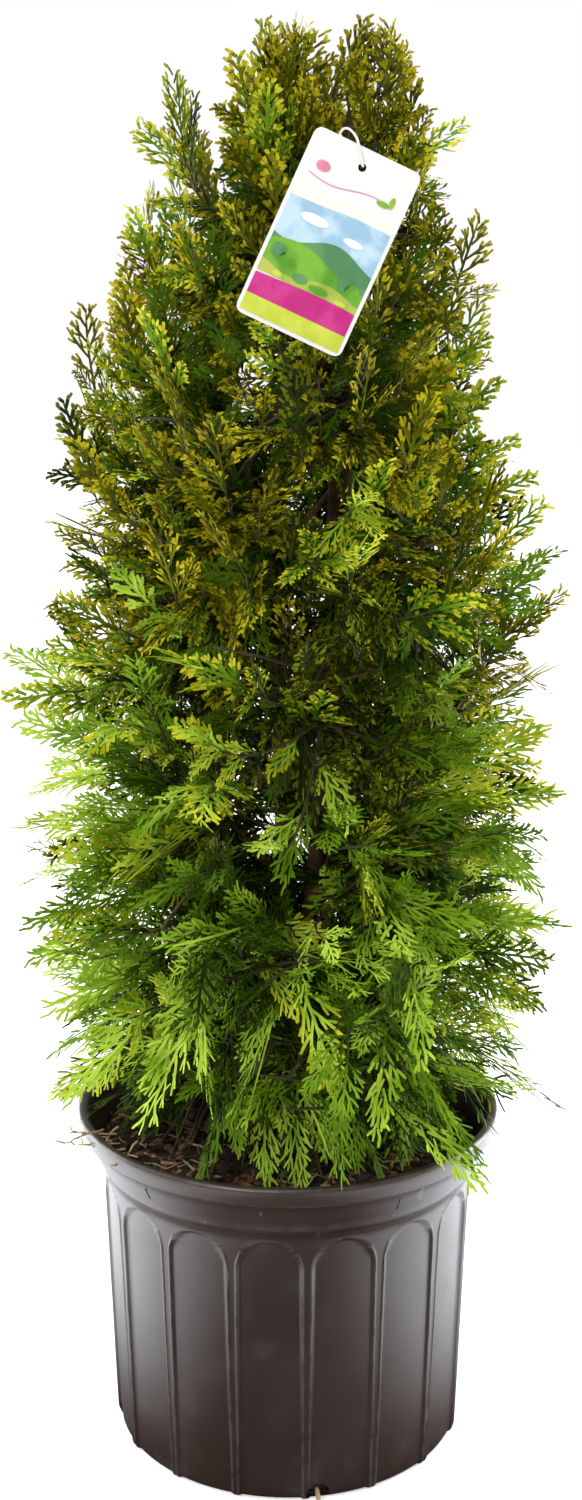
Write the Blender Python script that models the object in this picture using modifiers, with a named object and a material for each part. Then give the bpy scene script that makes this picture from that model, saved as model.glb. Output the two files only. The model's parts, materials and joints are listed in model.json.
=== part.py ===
"""A young arborvitae with two leaders, standing in a fluted nursery pot.

Metres, +Z up, the origin at the middle of the pot's flat underside, -Y towards the front.
The pot, its soil, the trunk, the second leader, the boughs, the masses of foliage and the
hang tag with its tie are each one closed solid. Every size below is a real size in metres.
"""

import math
import random

import bmesh
import bpy
from mathutils import Vector
from mathutils.bvhtree import BVHTree

# Pot: radii and heights of its turned outer form
RIM_RADIUS = 0.140
POT_HEIGHT = 0.230
LIP_DEPTH = 0.0125
LIP_WIDTH = 0.0058
COLLAR_RADIUS = 0.1350
COLLAR_FOOT_RADIUS = 0.1268
COLLAR_FOOT_HEIGHT = 0.1965
BODY_TOP_RADIUS = 0.1234
BODY_TOP_HEIGHT = 0.1915
BODY_FOOT_RADIUS = 0.1170
FOOT_ROUND = 0.007
WALL = 0.0028
FLOOR = 0.0032
FLOOR_CORNER = 0.0025
POT_STEPS = 32
SCREW_MERGE = 0.00002

# Small roundings of the pot's outline: how far in or out and how far up each goes
FOOT_FLAT_IN = 0.0050
FOOT_CORNER_IN = 0.0014
FOOT_CORNER_UP = 0.0020
COLLAR_ROUND_OUT = 0.0006
COLLAR_ROUND_DOWN = 0.0030
LIP_UNDERSIDE_IN = 0.0012
LIP_ROUND_IN = 0.0014
LIP_ROUND_DOWN = 0.0040

# Pressed panels round the body, open at the foot and arched at the top
PANEL_COUNT = 16
PANEL_WIDTH = 0.0400
PANEL_DEPTH = 0.0011
PANEL_TOP = 0.1865
PANEL_FIRST_DEG = -95.6
PANEL_ARCH_STEPS = 5
PANEL_FOOT = -0.010
PANEL_CUT_FROM = 0.108
PANEL_CUT_DEPTH = 0.040
PANEL_CORE_FOOT = -0.020
PANEL_CORE_TOP = 0.220

# Half-round drain notches in the foot of the wall
NOTCH_COUNT = 4
NOTCH_RADIUS = 0.0078
NOTCH_MID_HEIGHT = 0.0045
NOTCH_FIRST_DEG = -80.5
NOTCH_REACH = 0.022
ROUND_CUT_SIDES = 12

# Soil and the gaps that keep neighbours apart
SOIL_HEIGHT = 0.2080
SOIL_EDGE_DROP = 0.0030
SOIL_EDGE_WIDTH = 0.030
GAP = 0.0003
SEAT_GAP = 0.00036
WELD = 0.000002

# Stems: points on the centreline as x, y, height, and the radius there
TRUNK_LINE = (
    (-0.0240, -0.0125, SOIL_HEIGHT - 0.010, 0.0150),
    (-0.0215, -0.0118, 0.219, 0.0098),
    (-0.014, -0.008, 0.255, 0.0080),
    (0.000, 0.000, 0.324, 0.0070),
    (-0.003, 0.002, 0.420, 0.0054),
    (-0.006, 0.004, 0.550, 0.0044),
    (-0.004, 0.003, 0.690, 0.0032),
    (-0.001, 0.001, 0.800, 0.0018),
)
LEADER_LINE = (
    (0.001, 0.000, 0.320, 0.0040),
    (0.007, 0.000, 0.336, 0.0053),
    (0.014, 0.000, 0.362, 0.0054),
    (0.023, 0.003, 0.450, 0.0048),
    (0.028, 0.004, 0.570, 0.0042),
    (0.030, 0.002, 0.690, 0.0032),
    (0.041, -0.001, 0.800, 0.0018),
)
STEM_SPACING = 0.034
BELOW_FORK = 0.300
PAST_FORK = 0.336

# Crown: how far it reaches from the axis at each height, on its left and on its right
REACH_LEFT = (
    (0.200, 0.130),
    (0.235, 0.168),
    (0.286, 0.163),
    (0.308, 0.184),
    (0.342, 0.154),
    (0.383, 0.188),
    (0.440, 0.163),
    (0.517, 0.172),
    (0.556, 0.162),
    (0.612, 0.131),
    (0.650, 0.150),
    (0.742, 0.125),
    (0.775, 0.095),
    (0.814, 0.100),
    (0.871, 0.075),
)
REACH_RIGHT = (
    (0.200, 0.120),
    (0.235, 0.157),
    (0.280, 0.176),
    (0.314, 0.153),
    (0.358, 0.189),
    (0.385, 0.170),
    (0.437, 0.182),
    (0.540, 0.162),
    (0.600, 0.167),
    (0.650, 0.152),
    (0.742, 0.117),
    (0.790, 0.120),
    (0.814, 0.103),
    (0.871, 0.084),
)
CROWN_TOP = 0.925

# Masses round the stems: they climb in a spiral, closer together where the crown is wide
MASS_COUNT = 23
MASS_LOWEST = 0.246
MASS_HIGHEST = 0.772
MASS_CROWDING = 1.12
MASS_SHARE = 0.60
FIRST_WAY_DEG = -72.0
GOLDEN_DEG = 137.508

# Plumes at the leaders' tips: name, x, y and height of the middle, half width, top
PLUMES = (
    ("left_plume", -0.022, 0.000, 0.850, 0.060, 0.9240),
    ("right_plume", 0.054, -0.002, 0.854, 0.046, CROWN_TOP),
)
PLUME_FOOT = 0.800
PLUME_POINT = 0.055
PLUME_ROUNDING = 0.7
PLUME_STEM_SHORT = 0.030
MASS_GAP = 0.0004

# Boughs: from inside the stem that they grow on to where their mass starts
BOUGH_RADIUS = 0.0031
BOUGH_OF_PARENT = 0.66
BOUGH_TAPER = (0.80, 0.58)
BOUGH_SAG = 0.004
BOUGH_RISE = 0.048
BOUGH_SHARE = 0.30
BOUGH_LOWEST_ROOT = SOIL_HEIGHT + 0.013
BOUGH_LOWEST_TIP = SOIL_HEIGHT + 0.026
BOUGH_CHECKS = 4

# Stems that carry each mass on from its bough, and the twigs to either side of them
STEM_RADIUS = 0.0017
STEM_TAPER = (0.85, 0.60)
STEM_STRAIGHT = 0.010
STEM_BEND = 0.6
STEM_BOW = 0.05
STEM_SHARE = 0.72
STEM_RISE = 0.062
TWIG_RADIUS = 0.0012
TWIG_TAPER = 0.7
TWIG_SIDES = 3
TWIG_SPREAD_DEG = 17.0
TWIG_SHARE = 0.80
TWIG_CHECKS = 6
PLUME_TWIG_SPREAD_DEG = 85.0
PLUME_TWIG_SIDE = 0.022
PLUME_TWIG_LIFT = 0.7

# Sprays: each a fan-shaped blade that stands for one fan of scale leaves. A layer of them has
# its share of the crown's reach, its share of the sprays and the bearing that it starts at.
SPRAY_COUNT = 450
SPRAY_LAYERS = ((1.00, 0.64, 0.0), (0.64, 0.25, 60.0))
PLUME_SHARE = 0.11
SPRAY_LOWEST = 0.205
SPIRAL_STEPS = 400
SPRAY_TRIES = 26
SPRAY_LENGTH = 0.084
SPRAY_SHORTEST = 0.034
SPRAY_LONGEST = 0.118
SPRAY_WIDTH_SHARES = (0.66, 0.40)
SPRAY_THICKNESS = 0.0026
SPRAY_OUTLINE = ((0.38, 0.30), (0.78, 0.44))
SPRAY_MIDDLE = 0.34
SPRAY_ROLL = 1.5
SPRAY_DEPTH = 0.22
SPRAY_FREE = 0.008
SPRAY_STRAY_DEG = (20.0, 16.0)
LENGTH_WEIGHT = 0.8
RISE_BY_HEIGHT = ((0.205, -34.0), (0.260, -8.0), (0.400, 20.0), (0.650, 46.0), (0.925, 74.0))
PLACES_PER_SEGMENT = 6
LIMB_CLEARANCE = 0.0009
SEED = 41

# Hang tag on its tie, at the front of the crown under the right plume
TAG_WIDTH = 0.0650
TAG_HEIGHT = 0.1110
TAG_THICKNESS = 0.0008
TAG_CORNER = 0.0045
TAG_CORNER_STEPS = 3
TAG_HOLE_RADIUS = 0.0024
TAG_HOLE_DROP = 0.0105
TAG_HOLE = (0.0415, -0.1000, 0.8310)
TAG_LEAN_DEG = 25.0
TAG_TILT_DEG = 7.0

# Tie: places across, up and out from the tag's hole, for the twig that carries the tag and
# for the loop that goes through the hole, over the card's top edge and round that twig
TAG_TWIG_MASS = "right_plume"
TAG_TWIG = (
    (0.0100, 0.0080, -0.0420),
    (-0.0040, 0.0130, -0.0130),
    (-0.0184, 0.0140, -0.0122),
    (-0.0420, 0.0150, -0.0130),
)
TIE_RADIUS = 0.0007
TIE_SPACING = 0.0035
TIE_CLEARANCE = 0.0025
TIE_ROUTE = (
    (0.0000, 0.0009, 0.0000),
    (-0.0010, 0.0022, 0.0018),
    (-0.0050, 0.0070, 0.0021),
    (-0.0095, 0.0130, 0.0012),
    (-0.0150, 0.0168, -0.0065),
    (-0.0184, 0.0164, -0.0122),
    (-0.0190, 0.0138, -0.0150),
    (-0.0155, 0.0106, -0.0115),
    (-0.0085, 0.0062, -0.0060),
    (-0.0014, 0.0020, -0.0020),
)

COLOURS = {
    "pot_plastic": ((0.030, 0.028, 0.030), 0.42),
    "soil": ((0.055, 0.032, 0.020), 0.95),
    "bark": ((0.130, 0.075, 0.045), 0.90),
    "foliage": ((0.150, 0.230, 0.025), 0.60),
    "tag_card": ((0.850, 0.860, 0.800), 0.45),
    "tie_plastic": ((0.800, 0.790, 0.740), 0.40),
}


def clear_scene():
    """Removes every object of the startup scene."""
    for obj in list(bpy.data.objects):
        bpy.data.objects.remove(obj)


def new_collection(name):
    """A collection linked to the scene."""
    collection = bpy.data.collections.new(name)
    bpy.context.scene.collection.children.link(collection)
    return collection


def material(slot):
    """The Principled material of one slot, made on first use."""
    found = bpy.data.materials.get(slot)
    if found:
        return found
    colour, roughness = COLOURS[slot]
    made = bpy.data.materials.new(slot)
    made.use_nodes = True
    shader = made.node_tree.nodes["Principled BSDF"]
    shader.inputs["Base Color"].default_value = (*colour, 1.0)
    shader.inputs["Roughness"].default_value = roughness
    return made


def linked(name, data, collection, slot=None):
    """An object of this data in the collection, with its slot's material."""
    obj = bpy.data.objects.new(name, data)
    collection.objects.link(obj)
    if slot:
        data.materials.append(material(slot))
    return obj


def frozen(obj, name, collection, slot, weld=True):
    """A plain mesh object of what obj evaluates to, a curve's caps welded on. obj is removed."""
    bpy.context.view_layer.update()
    graph = bpy.context.evaluated_depsgraph_get()
    mesh = bpy.data.meshes.new_from_object(obj.evaluated_get(graph), depsgraph=graph)
    mesh.transform(obj.matrix_world)
    if weld:
        shaped = bmesh.new()
        shaped.from_mesh(mesh)
        bmesh.ops.remove_doubles(shaped, verts=shaped.verts, dist=WELD)
        shaped.to_mesh(mesh)
        shaped.free()
    mesh.materials.clear()
    bpy.data.objects.remove(obj)
    return linked(name, mesh, collection, slot)


def blended(points, value):
    """The second number of points at this first number, on straight lines between them."""
    if value <= points[0][0]:
        return points[0][1]
    for (low, at_low), (high, at_high) in zip(points, points[1:]):
        if value <= high:
            return at_low + (at_high - at_low) * (value - low) / (high - low)
    return points[-1][1]


def smooth_stretches(before, rows, after, spacing):
    """Rows about this far apart on a smooth curve through rows, given its outer neighbours."""
    rows = [before, *rows, after]
    line = []
    for before, start, end, after in zip(rows, rows[1:], rows[2:], rows[3:]):
        steps = max(1, round((end - start).length / spacing))
        for step in range(steps):
            t = step / steps
            line.append(
                0.5
                * (
                    2 * start
                    + (end - before) * t
                    + (2 * before - 5 * start + 4 * end - after) * t * t
                    + (3 * start - 3 * end + after - before) * t * t * t
                )
            )
    return [*line, rows[-2]]


def smooth_line(points, spacing):
    """Rows about this far apart on a smooth curve through rows of numbers."""
    rows = [Vector(p) for p in points]
    return smooth_stretches(2 * rows[0] - rows[1], rows, 2 * rows[-1] - rows[-2], spacing)


def tube(name, line, collection, slot, extra=0.0, resolution=1):
    """A capped tube along rows of x, y, z and radius."""
    curve = bpy.data.curves.new(name, "CURVE")
    curve.dimensions = "3D"
    curve.bevel_depth = 1.0
    curve.bevel_resolution = resolution
    curve.use_fill_caps = True
    spline = curve.splines.new("POLY")
    spline.points.add(len(line) - 1)
    for point, row in zip(spline.points, line):
        point.co = (row[0], row[1], row[2], 1.0)
        point.radius = row[3] + extra
    return frozen(linked(name, curve, collection), name, collection, slot)


def turned(name, profile, steps, collection, slot):
    """A solid turned about Z from rows of radius and height, up its outer side, axis to axis."""
    mesh = bpy.data.meshes.new(name)
    mesh.from_pydata(
        [(radius, 0.0, height) for radius, height in reversed(profile)],
        [(i, i + 1) for i in range(len(profile) - 1)],
        [],
    )
    obj = linked(name, mesh, collection)
    obj.rotation_euler.z = math.radians(PANEL_FIRST_DEG)
    screw = obj.modifiers.new("turn", "SCREW")
    screw.steps = screw.render_steps = steps
    screw.use_merge_vertices = True
    screw.merge_threshold = SCREW_MERGE
    return frozen(obj, name, collection, slot)


def boolean(obj, operation, other=None, group=None, solver="EXACT"):
    """Applies one Boolean to obj with another object or a collection."""
    cut = obj.modifiers.new("boolean", "BOOLEAN")
    cut.operation = operation
    cut.solver = solver
    if group:
        cut.operand_type = "COLLECTION"
        cut.collection = group
    else:
        cut.object = other
    slot = obj.data.materials[0].name if obj.data.materials else None
    return frozen(obj, obj.name, obj.users_collection[0], slot, weld=False)


def shade_round(obj, angle_deg=35.0):
    """Smooth shading with sharp creases over the angle."""
    obj.data.shade_smooth()
    obj.data.set_sharp_from_angle(angle=math.radians(angle_deg))


def bearing(degrees):
    """Unit vector on the ground at this bearing, 0 at +X and -90 to the front."""
    return Vector((math.cos(math.radians(degrees)), math.sin(math.radians(degrees)), 0.0))


def pot_wall_radius(height):
    """Outer radius of the pot's plain body at a height."""
    rise = (height - FOOT_ROUND) / (BODY_TOP_HEIGHT - FOOT_ROUND)
    return BODY_FOOT_RADIUS + (BODY_TOP_RADIUS - BODY_FOOT_RADIUS) * rise


def pot_profile():
    """Outer and inner outline of the pot, from the middle of its underside round to its floor."""
    lip_foot = POT_HEIGHT - LIP_DEPTH
    outer = [
        (0.0, 0.0),
        (BODY_FOOT_RADIUS - FOOT_FLAT_IN, 0.0),
        (BODY_FOOT_RADIUS - FOOT_CORNER_IN, FOOT_CORNER_UP),
        (BODY_FOOT_RADIUS, FOOT_ROUND),
        (BODY_TOP_RADIUS, BODY_TOP_HEIGHT),
        (COLLAR_FOOT_RADIUS, COLLAR_FOOT_HEIGHT),
        (COLLAR_RADIUS, lip_foot - COLLAR_ROUND_DOWN),
        (COLLAR_RADIUS + COLLAR_ROUND_OUT, lip_foot),
        (RIM_RADIUS - LIP_UNDERSIDE_IN, lip_foot),
        (RIM_RADIUS, POT_HEIGHT - LIP_ROUND_DOWN),
        (RIM_RADIUS - LIP_ROUND_IN, POT_HEIGHT),
        (RIM_RADIUS - LIP_WIDTH, POT_HEIGHT),
    ]
    inner = [
        (BODY_TOP_RADIUS - WALL, BODY_TOP_HEIGHT),
        (BODY_FOOT_RADIUS - WALL, FOOT_ROUND),
        (BODY_FOOT_RADIUS - WALL - FLOOR_CORNER, FLOOR),
        (0.0, FLOOR),
    ]
    return outer + inner


def arch_outline(width, height):
    """Points of an upright panel with a half-round top, from its lower left corner."""
    half = width / 2
    points = [(-half, PANEL_FOOT), (half, PANEL_FOOT)]
    for step in range(PANEL_ARCH_STEPS + 1):
        angle = math.pi * step / PANEL_ARCH_STEPS
        points.append((half * math.cos(angle), height - half + half * math.sin(angle)))
    return points


def flat_prism(name, outline, depth, collection):
    """A filled 2D outline given this thickness, standing on its local XY plane."""
    curve = bpy.data.curves.new(name, "CURVE")
    curve.dimensions = "2D"
    curve.fill_mode = "BOTH"
    curve.extrude = depth / 2
    spline = curve.splines.new("POLY")
    spline.points.add(len(outline) - 1)
    spline.use_cyclic_u = True
    for point, (x, y) in zip(spline.points, outline):
        point.co = (x, y, 0.0, 1.0)
    return linked(name, curve, collection)


def joined(name, objects, collection):
    """One mesh object of several that don't touch."""
    whole = bmesh.new()
    for obj in objects:
        whole.from_mesh(obj.data)
        bpy.data.objects.remove(obj)
    mesh = bpy.data.meshes.new(name)
    whole.to_mesh(mesh)
    whole.free()
    return linked(name, mesh, collection)


def panel_cutter(helpers):
    """All pressed panels as one cutter: arched prisms, less the body that stays inside them."""
    prisms = []
    for index in range(PANEL_COUNT):
        name = f"panel_{index}"
        outline = arch_outline(PANEL_WIDTH, PANEL_TOP)
        prism = flat_prism(name, outline, PANEL_CUT_DEPTH, helpers)
        way = PANEL_FIRST_DEG + index * 360 / PANEL_COUNT
        prism.rotation_euler = (math.pi / 2, 0.0, math.radians(way + 90))
        prism.location = bearing(way) * (PANEL_CUT_FROM + PANEL_CUT_DEPTH / 2)
        prisms.append(frozen(prism, name, helpers, None))
    cutter = joined("panel_cutter", prisms, helpers)
    stays = (
        (0.0, PANEL_CORE_FOOT),
        (pot_wall_radius(PANEL_CORE_FOOT) - PANEL_DEPTH, PANEL_CORE_FOOT),
        (pot_wall_radius(PANEL_CORE_TOP) - PANEL_DEPTH, PANEL_CORE_TOP),
        (0.0, PANEL_CORE_TOP),
    )
    core = turned("panel_core", stays, POT_STEPS, helpers, None)
    return boolean(cutter, "DIFFERENCE", core)


def make_pot(collection, helpers):
    """The nursery pot: turned wall with a rolled lip, pressed panels and drain notches."""
    pot = turned("pot", pot_profile(), POT_STEPS, collection, "pot_plastic")
    pot = boolean(pot, "DIFFERENCE", panel_cutter(helpers), solver="MANIFOLD")
    notches = new_collection("notches")
    for index in range(NOTCH_COUNT):
        way = NOTCH_FIRST_DEG + index * 360 / NOTCH_COUNT
        bpy.ops.mesh.primitive_cylinder_add(
            vertices=ROUND_CUT_SIDES, radius=NOTCH_RADIUS, depth=NOTCH_REACH
        )
        notch = bpy.context.object
        notch.rotation_euler = (math.pi / 2, 0.0, math.radians(way + 90))
        notch.location = bearing(way) * BODY_FOOT_RADIUS + Vector((0, 0, NOTCH_MID_HEIGHT))
        frozen(notch, f"notch_{index}", notches, None)
    pot = boolean(pot, "DIFFERENCE", group=notches, solver="MANIFOLD")
    shade_round(pot)
    remove_collection(notches)
    return pot


def remove_collection(collection):
    """Removes a helper collection with its objects."""
    for obj in list(collection.objects):
        bpy.data.objects.remove(obj)
    bpy.data.collections.remove(collection)


def make_soil(collection):
    """The potting mix that fills the pot, with a flat top that sinks a little at its edge."""
    inner = WALL + GAP
    edge_height = SOIL_HEIGHT - SOIL_EDGE_DROP
    rise = (edge_height - BODY_TOP_HEIGHT) / (POT_HEIGHT - BODY_TOP_HEIGHT)
    narrow, wide = BODY_TOP_RADIUS - WALL, RIM_RADIUS - LIP_WIDTH
    edge = narrow + rise * (wide - narrow) - 2 * GAP
    profile = (
        (0.0, FLOOR + GAP),
        (BODY_FOOT_RADIUS - inner - FLOOR_CORNER, FLOOR + GAP),
        (BODY_FOOT_RADIUS - inner, FOOT_ROUND + GAP),
        (BODY_TOP_RADIUS - inner, BODY_TOP_HEIGHT),
        (edge, edge_height),
        (edge - SOIL_EDGE_WIDTH, SOIL_HEIGHT),
        (0.0, SOIL_HEIGHT),
    )
    soil = turned("soil", profile, POT_STEPS, collection, "soil")
    shade_round(soil)
    return soil


def crown_reach(way, height):
    """How far the crown reaches from the axis at a bearing and a height."""
    share = (1 + math.cos(math.radians(way))) / 2
    left, right = blended(REACH_LEFT, height), blended(REACH_RIGHT, height)
    return left + (right - left) * share


def at_height(line, height):
    """The row of a stem's line at a height."""
    for low, high in zip(line, line[1:]):
        if height <= high[2]:
            share = (height - low[2]) / (high[2] - low[2])
            return low.lerp(high, max(0.0, share))
    return line[-1].copy()


def clear_of_limb(point, line, margin):
    """Whether a point keeps this far outside a limb's surface."""
    for start, end in zip(line, line[1:]):
        along = end.xyz - start.xyz
        share = (point - start.xyz).dot(along) / along.length_squared
        share = min(1.0, max(0.0, share))
        radius = start[3] + (end[3] - start[3]) * share
        if (point - start.xyz - along * share).length < radius + margin:
            return False
    return True


def tag_axes():
    """The tag's own directions: across, up and out of its face."""
    lean = math.radians(TAG_LEAN_DEG)
    tilt = math.radians(TAG_TILT_DEG)
    across = Vector((math.cos(lean), 0.0, -math.sin(lean)))
    up = Vector((math.sin(lean), 0.0, math.cos(lean)))
    up = (up * math.cos(tilt) + Vector((0.0, 1.0, 0.0)) * math.sin(tilt)).normalized()
    return across, up, across.cross(up)


def on_tag(place):
    """The point at a place across, up and out from the tag's hole."""
    across, up, out = tag_axes()
    return Vector(TAG_HOLE) + across * place[0] + up * place[1] + out * place[2]


def tie_line():
    """The tie's closed loop as points on a smooth curve."""
    route = [*TIE_ROUTE[-1:], *TIE_ROUTE, *TIE_ROUTE[:2]]
    before, *rows, after = [Vector(place) for place in route]
    return [on_tag(place) for place in smooth_stretches(before, rows, after, TIE_SPACING)[:-1]]


def tag_clear(point, margin):
    """Whether a point keeps this far from the tag, its tie and the view of its face."""
    across, up, out = tag_axes()
    offset = point - Vector(TAG_HOLE) - up * (TAG_HOLE_DROP - TAG_HEIGHT / 2)
    in_width = abs(offset.dot(across)) < TAG_WIDTH / 2 + margin
    in_height = abs(offset.dot(up)) < TAG_HEIGHT / 2 + margin
    if in_width and in_height and offset.dot(out) > -margin - TAG_THICKNESS:
        return False
    away = margin + TIE_RADIUS + TIE_CLEARANCE
    return all((point - place).length > away for place in tie_line())


def pot_clear(point, margin):
    """Whether a point keeps this far above the soil and off the pot's wall."""
    radius = math.hypot(point.x, point.y)
    if radius > RIM_RADIUS + margin:
        return point.z > COLLAR_FOOT_HEIGHT
    if radius > COLLAR_FOOT_RADIUS - WALL - margin:
        return point.z > POT_HEIGHT + margin
    return point.z > SOIL_HEIGHT + margin


class Mass:
    """One mass of foliage: the space it keeps to, and the bough, stem and twigs in it."""

    def __init__(self, name, middle, way=None):
        self.name = name
        self.middle = middle
        self.way = way
        self.parent = None
        self.bough = []
        self.stem = []
        self.twigs = []
        self.ends = []

    def holds(self, point, masses):
        """Whether a point is nearer to this mass's middle than to any other's, by the gap."""
        for other in masses:
            if other is self:
                continue
            away = (other.middle - self.middle).normalized()
            if (point - (self.middle + other.middle) / 2).dot(away) > -MASS_GAP:
                return False
        return True


def side_masses():
    """The masses that climb in a spiral round the stems."""
    masses = []
    for index in range(MASS_COUNT):
        rise = ((index + 0.5) / MASS_COUNT) ** MASS_CROWDING
        height = MASS_LOWEST + (MASS_HIGHEST - MASS_LOWEST) * rise
        way = FIRST_WAY_DEG + index * GOLDEN_DEG
        place = bearing(way) * crown_reach(way, height) * MASS_SHARE + Vector((0, 0, height))
        masses.append(Mass(f"mass_{index + 1:02}", place, way))
    return masses


def plume_masses():
    """The two masses that carry on from the leaders' tips."""
    return [Mass(name, Vector((x, y, middle))) for name, x, y, middle, _, _ in PLUMES]


def layer_places(share, count, first_way):
    """Places in a spiral that lie evenly over the crown at a share of its reach."""
    climb = (PLUME_FOOT - SPRAY_LOWEST) / SPIRAL_STEPS
    heights = [SPRAY_LOWEST + climb * step for step in range(SPIRAL_STEPS + 1)]
    total = sum(crown_reach(90, height) for height in heights)
    places = []
    due = 0.0
    for height in heights:
        due += count * crown_reach(90, height) / total
        while len(places) < due:
            way = first_way + len(places) * GOLDEN_DEG
            reach = crown_reach(way, height) * share
            places.append(Vector((0, 0, height)) + bearing(way) * reach)
    return places


def plume_places(x, y, width, top, count):
    """Places in a spiral round a plume, which narrows to its point."""
    places = []
    for index in range(count):
        height = PLUME_FOOT + (top - PLUME_FOOT) * (index + 1) / count
        reach = width * min(1.0, (top - height) / PLUME_POINT) ** PLUME_ROUNDING
        places.append(Vector((x, y, height)) + bearing(index * GOLDEN_DEG) * reach)
    return places


def spray_ends():
    """Where the sprays end: over the crown, in its inner layer and round its plumes."""
    ends = []
    for share, part, first_way in SPRAY_LAYERS:
        ends += layer_places(share, SPRAY_COUNT * part, first_way)
    for _, x, y, _, width, top in PLUMES:
        count = round(SPRAY_COUNT * PLUME_SHARE / len(PLUMES))
        ends += reversed(plume_places(x, y, width, top, count))
    return ends


def share_out(places, masses):
    """Gives each place to the mass whose middle is nearest."""
    for place in places:
        nearest = min(masses, key=lambda mass: (mass.middle - place).length)
        nearest.ends.append(place)


def route_plume(mass, leader, top):
    """A plume's stem goes on from its leader's tip."""
    heading = (leader[-1].xyz - leader[-2].xyz).normalized()
    start = leader[-1].xyz + heading * GAP
    end = Vector(((mass.middle.x + start.x) / 2, mass.middle.y, top - PLUME_STEM_SHORT))
    mass.stem = stem_line(start, heading, start.lerp(end, STEM_BEND), end)


def bough_line(parent, root_height, start):
    """A bough's rows, from inside its parent stem to where its mass starts."""
    root = at_height(parent, root_height)
    radius = min(BOUGH_RADIUS, BOUGH_OF_PARENT * root[3])
    half_way, at_tip = BOUGH_TAPER
    bend = root.xyz.lerp(start, 0.5) - Vector((0, 0, BOUGH_SAG))
    rows = ((*root.xyz, radius), (*bend, radius * half_way), (*start, radius * at_tip))
    return smooth_line(rows, STEM_SPACING)


def passes(line, limb):
    """Whether a limb's line stays clear of another limb all along."""
    steps = [
        low.lerp(high, step / BOUGH_CHECKS)
        for low, high in zip(line, line[1:])
        for step in range(BOUGH_CHECKS + 1)
    ]
    return all(clear_of_limb(row.xyz, limb, row[3] + 2 * GAP) for row in steps)


def route_side_mass(mass, trunk, leader):
    """A mass's bough leaves the nearer stem below it, and its stem goes on outwards."""
    way = bearing(mass.way)
    start_height = max(mass.middle.z - STEM_RISE / 2, BOUGH_LOWEST_TIP)
    root_height = max(start_height - BOUGH_RISE, BOUGH_LOWEST_ROOT)
    reach = crown_reach(mass.way, mass.middle.z)
    start = way * reach * BOUGH_SHARE + Vector((0, 0, start_height))
    for parent, other, height in (
        (trunk, leader, root_height),
        (leader, trunk, max(root_height, PAST_FORK)),
        (trunk, leader, min(root_height, BELOW_FORK)),
    ):
        mass.parent = parent
        mass.bough = bough_line(parent, height, start)
        if passes(mass.bough, other):
            break
    heading = (mass.bough[-1].xyz - mass.bough[-2].xyz).normalized()
    end = way * reach * STEM_SHARE + Vector((0, 0, start_height + STEM_RISE))
    bend = start.lerp(end, 0.5) + way * STEM_BOW * reach
    mass.stem = stem_line(start + heading * GAP, heading, bend, end)


def stem_line(start, heading, bend, end):
    """A tapering stem that sets off straight from a limb's tip and bends to its end."""
    half_way, at_tip = STEM_TAPER
    rows = (
        (*start, STEM_RADIUS),
        (*(start + heading * STEM_STRAIGHT), STEM_RADIUS),
        (*bend, STEM_RADIUS * half_way),
        (*end, STEM_RADIUS * at_tip),
    )
    return smooth_line(rows, STEM_SPACING)


def places_on(lines):
    """Places along centrelines, a few on each stretch between two rows."""
    return [
        low.xyz.lerp(high.xyz, (step + 0.5) / PLACES_PER_SEGMENT)
        for line in lines
        for low, high in zip(line, line[1:])
        for step in range(PLACES_PER_SEGMENT)
    ]


def fits(points, mass, masses, limbs):
    """Whether every point is in the mass's own space and clear of limbs, pot and tag."""
    return all(
        mass.holds(point, masses)
        and pot_clear(point, LIMB_CLEARANCE)
        and tag_clear(point, LIMB_CLEARANCE)
        and all(clear_of_limb(point, limb, LIMB_CLEARANCE) for limb in limbs)
        for point in points
    )


def tree_of(obj):
    """The faces of an object, ready for a test of what crosses them."""
    shape = bmesh.new()
    shape.from_mesh(obj.data)
    tree = BVHTree.FromBMesh(shape)
    shape.free()
    return tree


def hits(tree, others):
    """Whether a shape crosses any of the others."""
    return any(tree.overlap(other) for other in others)


def grow_twigs(mass, masses, limbs):
    """Gives the mass its side twigs, which leave the stem to its left and right."""
    row = mass.stem[1]
    tip = mass.stem[-1]
    reach = math.hypot(tip.x, tip.y) * TWIG_SHARE
    for side in (-1, 1):
        if mass.way is None:
            aside = bearing(90 + side * PLUME_TWIG_SPREAD_DEG) * PLUME_TWIG_SIDE
            end = row.xyz.lerp(tip.xyz, PLUME_TWIG_LIFT) + aside
        else:
            end = bearing(mass.way + side * TWIG_SPREAD_DEG) * reach
            end.z = (row.z + tip.z) / 2
        twig = [Vector((*row.xyz, TWIG_RADIUS)), Vector((*end, TWIG_RADIUS * TWIG_TAPER))]
        along = [(step + 1) / TWIG_CHECKS for step in range(TWIG_CHECKS)]
        if fits([row.xyz.lerp(end, share) for share in along], mass, masses, limbs):
            mass.twigs.append(twig)


def spray_corners(root, heading, across, length, width):
    """The outline of a spray: its blunt root, one side of its fan, its tip, the other side."""
    butt = across * STEM_RADIUS / 2
    right = [root + heading * length * a + across * width * b for a, b in SPRAY_OUTLINE]
    left = [root + heading * length * a - across * width * b for a, b in SPRAY_OUTLINE]
    return [root + butt, *right, root + heading * length, *reversed(left), root - butt]


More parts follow.
